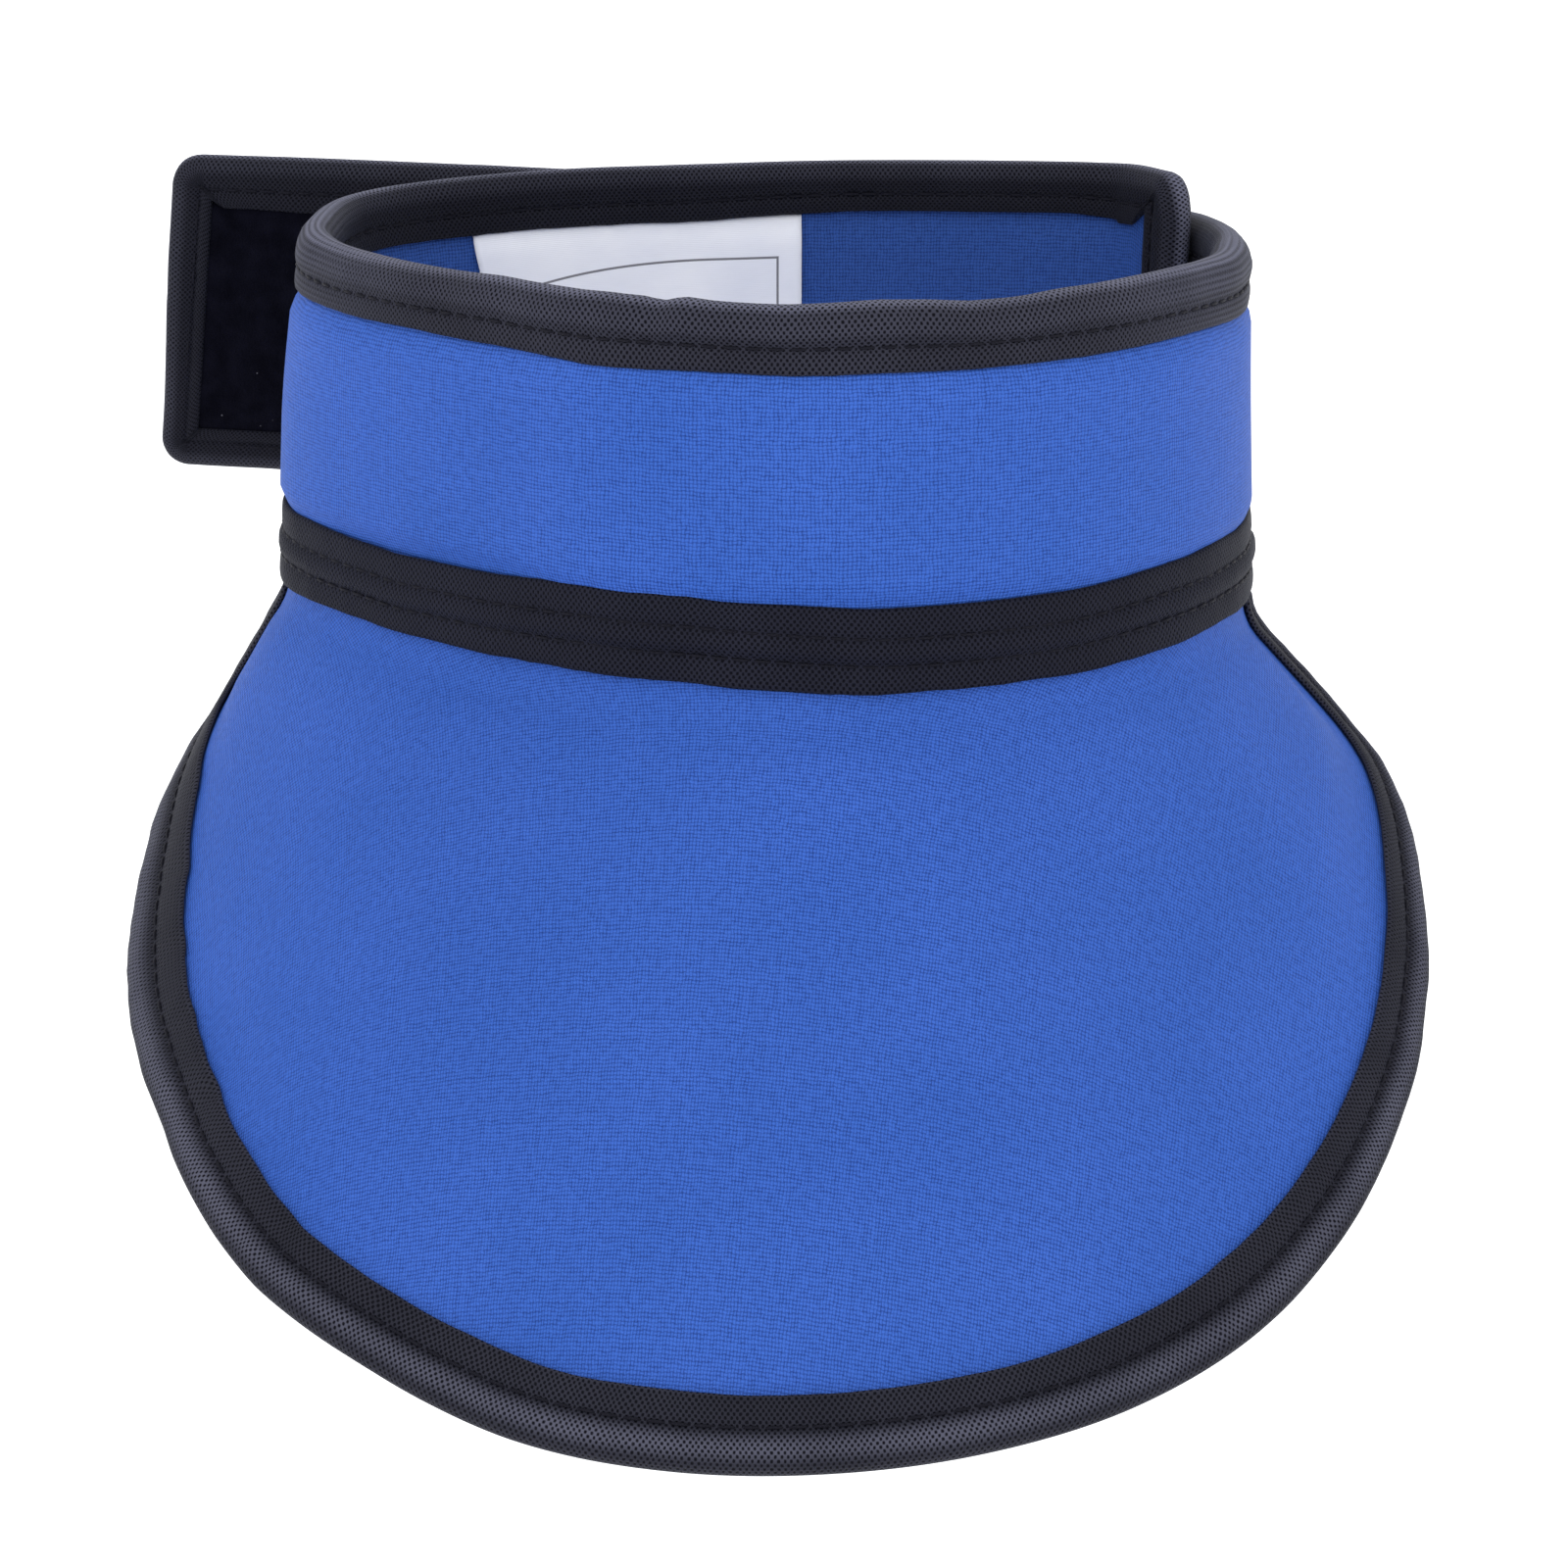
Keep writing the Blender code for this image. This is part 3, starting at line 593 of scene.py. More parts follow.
def bib_outward(along):
    """The bib's level outward directions, evened out because stiff cloth can't follow the strip."""
    total_x, total_y = 0.0, 0.0
    for i in range(-BIB_EVENING_STEPS, BIB_EVENING_STEPS + 1):
        nx, ny = outward(along + i * BIB_EVENING_STEP)
        total_x, total_y = total_x + nx, total_y + ny
    size = np.hypot(total_x, total_y)
    turn = flare_angle(along, BIB_TURNS)
    turned_x = total_x * np.cos(turn) - total_y * np.sin(turn)
    turned_y = total_x * np.sin(turn) + total_y * np.cos(turn)
    return turned_x / size, turned_y / size


def bib_middle(along, drop):
    """Points of the bib's middle surface: places along the seam and distances below it on the cloth."""
    slope = flare_angle(along, BIB_SLOPES)
    bend = np.minimum(drop / BIB_BEND_RADIUS, slope)
    run = np.maximum(drop - BIB_BEND_RADIUS * slope, 0.0)
    sideways = BIB_BEND_RADIUS * (1.0 - np.cos(bend)) + run * np.sin(slope)
    downwards = BIB_BEND_RADIUS * np.sin(bend) + run * np.cos(slope)
    nx, ny = bib_outward(along)
    return strip_surface(along, 0.0, 0.0) + np.stack([nx * sideways, ny * sideways, -downwards], axis=-1)


def bib_surface(along, drop, out):
    """Points of the bib at distances out from its middle surface, or of the strip above the seam."""
    along, drop, out = np.broadcast_arrays(along, drop, out)
    above = strip_surface(along, np.maximum(-drop, 0.0), out)
    below = np.maximum(drop, 0.0)
    here = bib_middle(along, below)
    across = bib_middle(along + TANGENT_REACH, below) - bib_middle(along - TANGENT_REACH, below)
    down = bib_middle(along, below + TANGENT_REACH) - here
    normal = unit(np.cross(down, across))
    return np.where(drop[..., None] > 0.0, here + normal * out[..., None], above)


def bib_edge_curve():
    """The bib's outer edge as places along and drops, with its length so far."""
    half = (SEAM_END - SEAM_START) / 2
    middle = (SEAM_START + SEAM_END) / 2
    rows = [named(BIB_EDGE_COLUMNS, row) for row in BIB_EDGE_ROWS]
    line = smooth_curve([(middle + row["share"] * half, row["drop"]) for row in rows])
    return line, lengths_along(bib_surface(line[:, 0], line[:, 1], 0.0))


BIB_LINE, BIB_LENGTHS = bib_edge_curve()
BIB_EDGE_LENGTH = BIB_LENGTHS[-1]


def bib_edge(travel, inset):
    """Places along and drops of points inset on the cloth from the bib's edge, at distances round it."""
    def edge(at):
        return np.interp(at, BIB_LENGTHS, BIB_LINE[:, 0]), np.interp(at, BIB_LENGTHS, BIB_LINE[:, 1])
    along, drop = edge(travel)
    ahead = edge(np.clip(travel + TANGENT_REACH, 0.0, BIB_EDGE_LENGTH))
    behind = edge(np.clip(travel - TANGENT_REACH, 0.0, BIB_EDGE_LENGTH))
    stretch = bib_surface(along + TANGENT_REACH, drop, 0.0) - bib_surface(along, drop, 0.0)
    spread = np.linalg.norm(stretch, axis=-1) / TANGENT_REACH
    step_x = (ahead[0] - behind[0]) * spread
    step_y = ahead[1] - behind[1]
    size = np.hypot(step_x, step_y)
    return along + inset * step_y / size / spread, drop - inset * step_x / size


def table_value(rows, columns, name, place):
    """A column of one of the millimetre tables at places along it, everything in metres."""
    table = np.array(rows) * MM
    return np.interp(place, table[:, 0], table[:, columns.index(name)])


def lip_reach(inset, lip, drawn_lip):
    """Stretch a leg's insets so that the lip drawn at one inset ends at another."""
    start = LIP_START * MM
    ratio = (lip - start) / (drawn_lip * MM - start)
    return np.where(inset > start, start + (inset - start) * ratio, inset)


def finished(name, mesh, material):
    """An object from the mesh, with its faces turned outward, a material and a body to ride on."""
    shape = bmesh.new()
    shape.from_mesh(mesh)
    bmesh.ops.recalc_face_normals(shape, faces=shape.faces)
    shape.to_mesh(mesh)
    shape.free()
    mesh.materials.append(material)
    mesh.shade_smooth()
    piece = bpy.data.objects.new(name, mesh)
    collection.objects.link(piece)
    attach(piece, "root")
    return piece


def set_uv(mesh, u, v):
    """Cloth coordinates in millimetres, from a value in metres for each face corner."""
    uv = np.stack([u, v], axis=-1) / MM
    mesh.uv_layers.new(name="cloth").data.foreach_set("uv", uv.astype(np.float32).ravel())


def set_vertex_uv(mesh, u, v):
    """Cloth coordinates in millimetres, from a value in metres for each vertex."""
    corners = np.empty(len(mesh.loops), dtype=np.int32)
    mesh.loops.foreach_get("vertex_index", corners)
    set_uv(mesh, u.ravel()[corners], v.ravel()[corners])


def band(name, points):
    """A mesh from (columns, rows, 3) points, each column a closed loop, with both ends capped. Also the
    column and the row of each face."""
    columns, rows = points.shape[:2]
    c, r = np.meshgrid(np.arange(columns - 1), np.arange(rows), indexing="ij")
    n = (r + 1) % rows
    faces = np.stack([c * rows + r, (c + 1) * rows + r, (c + 1) * rows + n, c * rows + n], axis=-1)
    caps = [list(range(rows)), list(range(columns * rows - 1, (columns - 1) * rows - 1, -1))]
    mesh = bpy.data.meshes.new(name)
    mesh.from_pydata(points.reshape(-1, 3), [], faces.reshape(-1, 4).tolist() + caps)
    return mesh, c, r


def tape(name, points, lengths, section, material):
    """A tape from its section in every column, with cloth coordinates along it and round the section."""
    mesh, c, r = band(name, points)
    round_section = lengths_along(np.vstack([section, section[:1]]))
    cap = np.ones(len(section))
    u = np.stack([lengths[c], lengths[c + 1], lengths[c + 1], lengths[c]], axis=-1)
    v = np.stack([round_section[r], round_section[r], round_section[r + 1], round_section[r + 1]], axis=-1)
    u = np.concatenate([u.ravel(), lengths[0] * cap, lengths[-1] * cap])
    v = np.concatenate([v.ravel(), round_section[:-1], round_section[:-1][::-1]])
    set_uv(mesh, u, v)
    return finished(name, mesh, material)


def two_faced(name, outside, inside, u, v, material, slot, offset=0.0):
    """A closed cloth from its outer and inner faces. The inner face's v lies an offset beyond the outer's."""
    mesh, _, _ = band(name, np.concatenate([outside, inside[:, ::-1]], axis=1))
    u = np.concatenate([u, u[:, ::-1]], axis=1)
    v = np.concatenate([v, v[:, ::-1] + offset], axis=1)
    set_vertex_uv(mesh, u, v)
    return finished(name, mesh, material)


def new_material(name, finish):
    """A material whose shader's sockets have the given values."""
    material = bpy.data.materials.new(name)
    material.use_nodes = True
    for socket, value in finish.items():
        material.node_tree.nodes["Principled BSDF"].inputs[socket].default_value = value
    return material


class Nodes:
    """Short ways to add nodes to a material. Its u and v are the cloth's own millimetres."""

    def __init__(self, name, finish):
        self.material = new_material(name, finish)
        self.tree = self.material.node_tree
        self.shader = self.tree.nodes["Principled BSDF"]
        self.coordinates = self.tree.nodes.new("ShaderNodeTexCoord")
        split = self.tree.nodes.new("ShaderNodeSeparateXYZ")
        self.tree.links.new(self.coordinates.outputs["UV"], split.inputs[0])
        self.u, self.v = split.outputs["X"], split.outputs["Y"]

    def feed(self, socket, value):
        if isinstance(value, bpy.types.NodeSocket):
            self.tree.links.new(value, socket)
        else:
            socket.default_value = value

    def colour(self, value):
        self.feed(self.shader.inputs["Base Color"], value)

    def math(self, operation, a, b=0.0, c=0.0):
        node = self.tree.nodes.new("ShaderNodeMath")
        node.operation = operation
        for socket, value in zip(node.inputs, (a, b, c)):
            self.feed(socket, value)
        return node.outputs[0]

    def plus(self, a, b):
        return self.math("ADD", a, b)

    def minus(self, a, b):
        return self.math("SUBTRACT", a, b)

    def times(self, a, b):
        return self.math("MULTIPLY", a, b)

    def apart(self, a, b):
        return self.math("ABSOLUTE", self.minus(a, b))

    def noise(self, scale, detail=2.0, flat=False):
        """Noise over the object, per metre, or over the cloth's own millimetres."""
        node = self.tree.nodes.new("ShaderNodeTexNoise")
        self.tree.links.new(self.coordinates.outputs["UV" if flat else "Object"], node.inputs["Vector"])
        node.inputs["Scale"].default_value = scale
        node.inputs["Detail"].default_value = detail
        return node.outputs["Fac"]

    def spread(self, value, low, high, to_low=0.0, to_high=1.0):
        node = self.tree.nodes.new("ShaderNodeMapRange")
        for socket, given in zip(node.inputs, (value, low, high, to_low, to_high)):
            self.feed(socket, given)
        return node.outputs[0]

    def clouds(self, scale, to_low=0.0, to_high=1.0):
        """Soft clouds over the object."""
        return self.spread(self.noise(scale, 3.0), 0.3, 0.7, to_low, to_high)

    def drift(self, scale, size):
        """A slow wander over the flat cloth, up to half the size either way."""
        return self.times(self.minus(self.noise(scale, 3.0, flat=True), 0.5), size)

    def mix(self, share, a, b):
        node = self.tree.nodes.new("ShaderNodeMix")
        node.data_type = "RGBA"
        colour_inputs = [socket for socket in node.inputs if socket.type == "RGBA"]
        self.feed(node.inputs[0], share)
        self.feed(colour_inputs[0], a)
        self.feed(colour_inputs[1], b)
        return [socket for socket in node.outputs if socket.type == "RGBA"][0]

    def bump(self, height, distance, strength):
        node = self.tree.nodes.new("ShaderNodeBump")
        node.inputs["Distance"].default_value = distance
        node.inputs["Strength"].default_value = strength
        self.feed(node.inputs["Height"], height)
        self.tree.links.new(node.outputs["Normal"], self.shader.inputs["Normal"])

    def wave(self, value, pitch, low=0.0):
        """From a low value to 1 and back once per pitch."""
        turned = self.times(value, 2.0 * math.pi / pitch)
        return self.math("MULTIPLY_ADD", self.math("SINE", turned), (1.0 - low) / 2, (1.0 + low) / 2)

    def weave(self, pitches, drift):
        """Height of a plain weave: two sets of threads that pass over and under each other."""
        a = self.math("DIVIDE", self.plus(self.u, drift), pitches[0])
        b = self.math("DIVIDE", self.plus(self.v, drift), pitches[1])
        threads = []
        for own, other, side in ((a, b, 0.5), (b, a, -0.5)):
            ridge = self.math("ABSOLUTE", self.math("SINE", self.times(own, math.pi)))
            turned = self.plus(self.times(self.math("FLOOR", own), math.pi), self.times(other, math.pi))
            threads.append(self.times(ridge, self.math("MULTIPLY_ADD", self.math("SINE", turned), side, 0.5)))
        return self.math("MAXIMUM", *threads)


def nylon_material(name, shaded_inside):
    """Blue plain-woven nylon with lighter thread crowns and uneven dye. On the neck panel the inner face is
    painted darker, as painted shade inside the collar."""
    n = Nodes(name, NYLON_FINISH)
    height = n.weave(NYLON_PITCHES, n.drift(0.35, NYLON_DRIFT))
    base = n.mix(n.clouds(38.0), NYLON_DARK, NYLON_LIGHT)
    slubs = n.spread(n.noise(0.9, flat=True), 0.35, 0.7)
    threads = n.math("MULTIPLY_ADD", slubs, 0.35, n.spread(height, 0.1, 0.9))
    cloth = n.mix(threads, n.mix(0.8, base, NYLON_SHADE), base)
    if shaded_inside:
        # Painted shade inside the collar: the inner face gets a darker blue
        inside_shade = n.mix(threads, INSIDE_SHADE_NYLON_PITS, INSIDE_SHADE_NYLON)
        cloth = n.mix(n.math("GREATER_THAN", n.v, INSIDE_SHADE_FROM), cloth, inside_shade)
    n.colour(cloth)
    n.bump(height, 0.00014, 0.9)
    return n.material


def tape_material(name, crown, tone_and_painted_light, light_steps, lit_bends=()):
    """Black woven binding tape with staggered rows of small dark pits. Steps paint highlight and shade across
    the tape, and at the bends a painted highlight makes it paler, and its ribs show."""
    n = Nodes(name, TAPE_FINISH)
    across = n.wave(n.plus(n.u, n.drift(0.25, TAPE_DRIFT)), TAPE_PIT_PITCH, -1.0)
    down = n.wave(n.v, TAPE_ROW_PITCH, -1.0)
    cloth = n.minus(1.0, n.spread(n.times(across, down), -0.05, 0.65))
    ribs = n.wave(n.v, TAPE_RIB_PITCH, 0.25)
    # Painted highlight and painted shade across the tape, by v round its section
    for step in (named(TAPE_STEP_COLUMNS, row) for row in light_steps):
        tone_and_painted_light = n.plus(tone_and_painted_light, n.spread(n.v, step["low"], step["high"], 0.0, step["change"]))
    # Painted highlight at the neck's bends; the ribs that show there are the tape's own weave
    for middle in lit_bends:
        apart = n.apart(n.u, middle)
        tone_and_painted_light = n.times(tone_and_painted_light, n.spread(apart, 8.0, 34.0, 1.7, 1.0))
        bent = n.spread(apart, 6.0, 30.0, 0.75, 0.0)
        cloth = n.math("MULTIPLY_ADD", bent, n.minus(ribs, cloth), cloth)
    fuzz = n.minus(n.noise(2.2, 3.0, flat=True), 0.5)
    height = n.math("MULTIPLY_ADD", fuzz, 0.5, cloth)
    light = n.mix(n.times(tone_and_painted_light, n.clouds(55.0, 0.75, 1.1)), TAPE_PIT, crown)
    n.colour(n.mix(n.spread(height, 0.0, 0.95), TAPE_PIT, light))
    n.bump(height, 0.00016, 0.9)
    return n.material


def thread_material():
    """Twisted polyester sewing thread."""
    n = Nodes("sewing_thread", THREAD_FINISH)
    twist = n.wave(n.math("MULTIPLY_ADD", n.v, 2.5, n.u), THREAD_PITCH)
    n.colour(n.mix(twist, THREAD_DARK, THREAD_LIGHT))
    n.bump(twist, 0.00005, 0.6)
    return n.material


def pile_material():
    """Brushed loop pile: near black, fuzzy, with a few pale specks of lint."""
    n = Nodes("loop_pile_cloth", PILE_FINISH)
    brushed = n.noise(240.0, 3.0)
    base = n.mix(n.spread(brushed, 0.3, 0.7), PILE_DARK, PILE_LIGHT)
    n.colour(n.mix(n.spread(n.noise(900.0, 1.0), 0.775, 0.80), base, PILE_LINT))
    n.bump(n.plus(n.noise(2600.0, 4.0), n.times(brushed, 0.6)), 0.0004, 0.9)
    return n.material


def hook_material():
    """Hook tape: rows of small stiff hooks on a woven ground."""
    n = Nodes("hook_tape_cloth", HOOK_FINISH)
    hooks = n.times(n.wave(n.u, HOOK_PITCH), n.wave(n.v, HOOK_PITCH))
    n.colour(n.mix(hooks, HOOK_GROUND, HOOK_LIGHT))
    n.bump(hooks, 0.0004, 1.0)
    return n.material


def label_material():
    """White woven satin with a plain printed frame."""
    n = Nodes("label_satin_cloth", SATIN_FINISH)
    white = n.mix(n.clouds(60.0), SATIN_DULL, SATIN_WHITE)
    beyond = n.math("MAXIMUM", n.minus(n.u, FRAME_BEND_FROM), 0.0)
    middle = n.math("MULTIPLY_ADD", n.times(beyond, beyond), FRAME_BEND, FRAME_TOP + FRAME_HALF_HEIGHT)
    sideways = (n.apart(n.u, LABEL_LENGTH / MM / 2), FRAME_HALF_LENGTH)
    upwards = (n.apart(n.v, middle), FRAME_HALF_HEIGHT)
    lines = []
    for (own, own_half), (other, other_half) in ((sideways, upwards), (upwards, sideways)):
        on_line = n.math("LESS_THAN", n.apart(own, own_half), FRAME_LINE)
        lines.append(n.times(on_line, n.math("LESS_THAN", other, other_half + FRAME_LINE)))
    n.colour(n.mix(n.times(n.math("MAXIMUM", *lines), FRAME_INK), white, PRINT))
    n.bump(n.wave(n.v, SATIN_PITCH), 0.00004, 0.5)
    return n.material


BIB_NYLON = nylon_material("blue_nylon_cloth", False)
NECK_NYLON = nylon_material("inside_shaded_nylon_cloth", True)
NECK_TAPE = tape_material("neck_tape_cloth", NECK_TAPE_CROWN, 0.22, NECK_TAPE_LIGHT_STEPS, NECK_TAPE_LIT_BENDS)
BIB_TAPE = tape_material("bib_tape_cloth", BIB_TAPE_CROWN, 0.42, BIB_TAPE_LIGHT_STEPS)
SEAM_TAPE = tape_material("seam_tape_cloth", SEAM_TAPE_CROWN, 0.75, ())
THREAD = thread_material()
PILE = pile_material()
HOOKS = hook_material()
SATIN = label_material()


def neck_route():
    """The bound outline in segments, from the seam's right end round the tab, along the top and round the
    inner end to the seam's left end. Each has a way to turn insets into places along and heights, the inner
    leg's widths in millimetres and how far the tape stands out in its mitres, one for each column."""
    segments = []

    def add(place, widths, folds):
        segments.append((place, widths, folds))

    def from_edge(side, distance):
        return STRIP_HEIGHT - distance if side > 0 else distance

    def centre(inset, end):
        radius = TAB_CORNER_RADIUS if end > 0.0 else CORNER_RADIUS
        return np.maximum(radius, inset + INNER_CORNER_RADIUS)

    def edge(marks, side, widths):
        def place(inset):
            return np.broadcast_to(marks[:, None], inset.shape), from_edge(side, inset)
        add(place, widths, np.zeros(len(marks)))

    def fan(end, toward, side, reverse, width):
        shares = np.linspace(0.0, 1.0, FAN_COLUMNS + 1)[1:]
        shares = shares[::-1] if reverse else shares

        def place(inset):
            reach = CORNER_CLEARANCE + (centre(inset, end) - CORNER_CLEARANCE) * shares[:, None]
            return end + toward * reach, from_edge(side, inset)
        add(place, np.full(len(shares), width), np.zeros(len(shares)))

    def corner(end, toward, side, turns, end_width, edge_width):
        angles = np.radians(turns)[:, None]

        def place(inset):
            radius = centre(inset, end) - inset
            along = end + toward * (centre(inset, end) - radius * np.cos(angles))
            return along, from_edge(side, centre(inset, end) - radius * np.sin(angles))
        folds = ramp(turns, *MITRE_SIDES[0]) * ramp(turns, *MITRE_SIDES[1])
        add(place, np.interp(turns, (10, 80), (end_width, edge_width)), folds)

    def up_end(end, toward, reverse, width):
        shares = np.linspace(0.0, 1.0, END_COLUMNS + 2)[1:-1]
        shares = shares[::-1] if reverse else shares

        def place(inset):
            low = centre(inset, end)
            return end + toward * inset, low + (STRIP_HEIGHT - 2 * low) * shares[:, None]
        add(place, np.full(len(shares), width), np.zeros(len(shares)))

    turns = np.array(MITRE_TURNS, dtype=float)
    back = turns[::-1]
    tab = STRIP_LENGTH
    marks = spaced(SEAM_END + NECK_BINDING_GAP, tab - CORNER_CLEARANCE, TAPE_STEP)
    edge(marks, -1, np.interp(marks, (tab - 0.06, tab - 0.03), (LEG_TOP, LEG_BOTTOM)))
    fan(tab, -1.0, -1, False, LEG_BOTTOM)
    corner(tab, -1.0, -1, turns, LEG_TAB_END, LEG_BOTTOM)
    up_end(tab, -1.0, False, LEG_TAB_END)
    corner(tab, -1.0, 1, back, LEG_TAB_END, LEG_TOP)
    fan(tab, -1.0, 1, True, LEG_TOP)
    marks = spaced(tab - CORNER_CLEARANCE, CORNER_CLEARANCE, TAPE_STEP)
    edge(marks, 1, np.interp(marks, (0.009, 0.022, 0.060, 0.090), (LEG_TOP, LEG_BACK, LEG_BACK, LEG_TOP)))
    fan(0.0, 1.0, 1, False, LEG_TOP)
    corner(0.0, 1.0, 1, turns, LEG_INNER_END, LEG_TOP)
    up_end(0.0, 1.0, True, LEG_INNER_END)
    corner(0.0, 1.0, -1, back, LEG_TOP, LEG_TOP)
    fan(0.0, 1.0, -1, True, LEG_TOP)
    marks = spaced(CORNER_CLEARANCE, SEAM_START - SEAM_GAP, TAPE_STEP)
    edge(marks, -1, np.full(len(marks), LEG_TOP))
    return segments


ROUTE = neck_route()
ROUTE_WIDTHS = np.concatenate([widths for _, widths, _ in ROUTE])[:, None] * MM
ROUTE_FOLDS = np.concatenate([folds for _, _, folds in ROUTE])[:, None] * FOLD_RISE


def route_points(inset, out):
    """Places along, heights and points of the strip for (columns, rows) of insets and distances outward."""
    alongs, ups, first = [], [], 0
    for place, widths, _ in ROUTE:
        part = inset[first:first + len(widths)]
        along, up = place(part)
        alongs.append(along)
        ups.append(up)
        first += len(widths)
    along, up = np.concatenate(alongs), np.concatenate(ups)
    return along, up, strip_surface(along, up, out)


def tape_section(outer):
    """A closed folded section: the outer leg, the edge, the inner leg and back inside the fold. In metres."""
    outer = np.array(outer)
    inner = outer[::-1][1:] * (1.0, -1.0)
    inside = np.array(TAPE_INSIDE)
    back = np.vstack([inside * (1.0, -1.0), inside[::-1][1:]])
    return np.vstack([outer, inner, back]) * MM


def on_top_edge(up):
    """1 in the strip's upper half, where the neck tape binds its top edge, and 0 below."""
    return ramp(up, STRIP_HEIGHT / 2, STRIP_HEIGHT / 2 + TOP_EDGE_FADE)


def rim_value(name, along, on_top):
    """The rim table's sag or lip along the top edge, and its first value on the other edges."""
    elsewhere = RIM_ROWS[0][RIM_COLUMNS.index(name)] * MM
    return elsewhere + (table_value(RIM_ROWS, RIM_COLUMNS, name, along) - elsewhere) * on_top


def neck_legs(inset, along, on_top):
    """The insets on the neck tape's outer leg and on its inner leg, as wide as they are at each column."""
    outer = lip_reach(inset, rim_value("lip", along, on_top), LIP_INSET)
    return outer, lip_reach(inset, ROUTE_WIDTHS, LIP_INSET)


def neck_binding():
    """The folded tape round the strip's edges, with its rolls, stitched groove, lips, mitres and puckers."""
    section = tape_section(NECK_TAPE_OUTER)
    inset = np.broadcast_to(section[:, 0], (len(ROUTE_WIDTHS), len(section)))
    out = np.broadcast_to(section[:, 1], inset.shape)
    along, up, _ = route_points(inset, out)
    on_top = on_top_edge(up)
    outer_leg, inner_leg = neck_legs(inset, along, on_top)
    inset = np.where(out > 0.0, outer_leg, inner_leg)
    folded = ramp(np.abs(inset), *FOLD_FADE) * (np.abs(out) > FOLD_FROM_OUT)
    out = out + np.sign(out) * ROUTE_FOLDS * folded
    wobble = ripple("neck lip", along, 0.0) + ripple("neck lip, fine", along, out * 20)
    inset = inset + wobble * ramp(inset, *NECK_LIP_FADE)
    roll = 1.0 - ramp(inset, *ROLL_FADE)
    sag = rim_value("sag", along, on_top) + rim_value("sag_below", along, 1.0 - on_top)
    at_inner_end = ramp(along, 0.008, 0.002) * ramp(STRIP_HEIGHT - up, 0.0015, 0.008)
    at_tab_end = ramp(along, STRIP_LENGTH - 0.006, STRIP_LENGTH) * ramp(up, 0.010, 0.040)
    reach = INNER_END_REACH * at_inner_end + TAB_END_REACH * at_tab_end
    inset = inset + (sag - reach) * (1.0 - ramp(inset, *SAG_FADE))
    waves = ripple("neck roll", along, up) + ripple("neck roll, fine", along, up)
    out = out + np.sign(out) * waves * roll * ramp(np.abs(out), *EDGE_FADE)
    for tuck in (named(TUCK_COLUMNS, row * MM) for row in np.array(TUCK_ROWS)):
        slanted = along + (inset - TUCK_INSET) * TUCK_SLANT
        nearby = hump(slanted, tuck["along"], tuck["width"]) * on_top * roll
        inset = inset - tuck["rise"] * nearby
        out = out + tuck["push"] * nearby * ramp(out, 0.0, EDGE_FADE[1])
    _, _, points = route_points(inset, out)
    u = lengths_along(points[:, section[:, 0].argmin()])
    piece = tape("neck_binding_tape", points, u, section, NECK_TAPE)
    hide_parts("neck_binding")


def stitches(name, line_at, out):
    """A row of separate stitches that dip into the cloth at their ends. line_at gives the row's points at a
    distance outward."""
    line = line_at(out)
    normals = unit(line_at(out + np.sign(out) * NORMAL_REACH) - line)
    lengths = lengths_along(line)
    count = int(lengths[-1] / STITCH_PITCH)
    starts = (np.arange(count) + 0.5 * (1.0 - STITCH_SHARE)) * (lengths[-1] / count)
    places, rises, sizes = np.array(STITCH_ROWS).T
    at = starts[:, None] + places * STITCH_PITCH * STITCH_SHARE

    def on_row(values, place):
        return np.stack([np.interp(place, lengths, values[:, axis]) for axis in range(3)], axis=-1)

    middle = on_row(line, at)
    along = unit(on_row(line, at + STITCH_LOOK_AHEAD) - middle)
    away = unit(on_row(normals, at))
    beside = np.cross(along, away)
    middle = middle + away * rises[:, None] * STITCH_RADIUS
    angles = np.arange(STITCH_SIDES) * 2.0 * math.pi / STITCH_SIDES
    ring = away[:, :, None] * np.sin(angles)[:, None] + beside[:, :, None] * np.cos(angles)[:, None]
    points = middle[:, :, None] + ring * sizes[:, None, None] * STITCH_RADIUS
    rings = len(places)
    first = np.arange(count) * rings * STITCH_SIDES
    c, s = np.meshgrid(np.arange(rings - 1) * STITCH_SIDES, np.arange(STITCH_SIDES), indexing="ij")
    n = (s + 1) % STITCH_SIDES
    quads = np.stack([c + s, c + STITCH_SIDES + s, c + STITCH_SIDES + n, c + n], axis=-1)
    quads = quads.reshape(1, -1, 4) + first[:, None, None]
    start_caps = first[:, None] + np.arange(STITCH_SIDES)
    end_caps = start_caps[:, ::-1] + (rings - 1) * STITCH_SIDES
    mesh = bpy.data.meshes.new(name)
    faces = quads.reshape(-1, 4).tolist() + start_caps.tolist() + end_caps.tolist()
    mesh.from_pydata(points.reshape(-1, 3), [], faces)
    set_vertex_uv(mesh, np.repeat(at.ravel(), STITCH_SIDES), np.tile(angles, at.size) * MM)
    finished(name, mesh, THREAD)


def neck_stitches():
    """Stitches in the neck binding's groove, on its outer and inner faces."""
    groove = np.full((len(ROUTE_WIDTHS), 1), GROOVE_INSET)
    along, up, _ = route_points(groove, 0.0)
    on_top = on_top_edge(up)
    sag = rim_value("sag", along, on_top) * (1.0 - ramp(groove, *SAG_FADE))
    legs = neck_legs(groove, along, on_top)
    for name, side, leg in zip(("neck_stitches_outer", "neck_stitches_inner"), (1.0, -1.0), legs):
        def line_at(out):
            return route_points(leg + sag, out + side * ROUTE_FOLDS)[2][:, 0]
        stitches(name, line_at, side * STITCH_OUT)


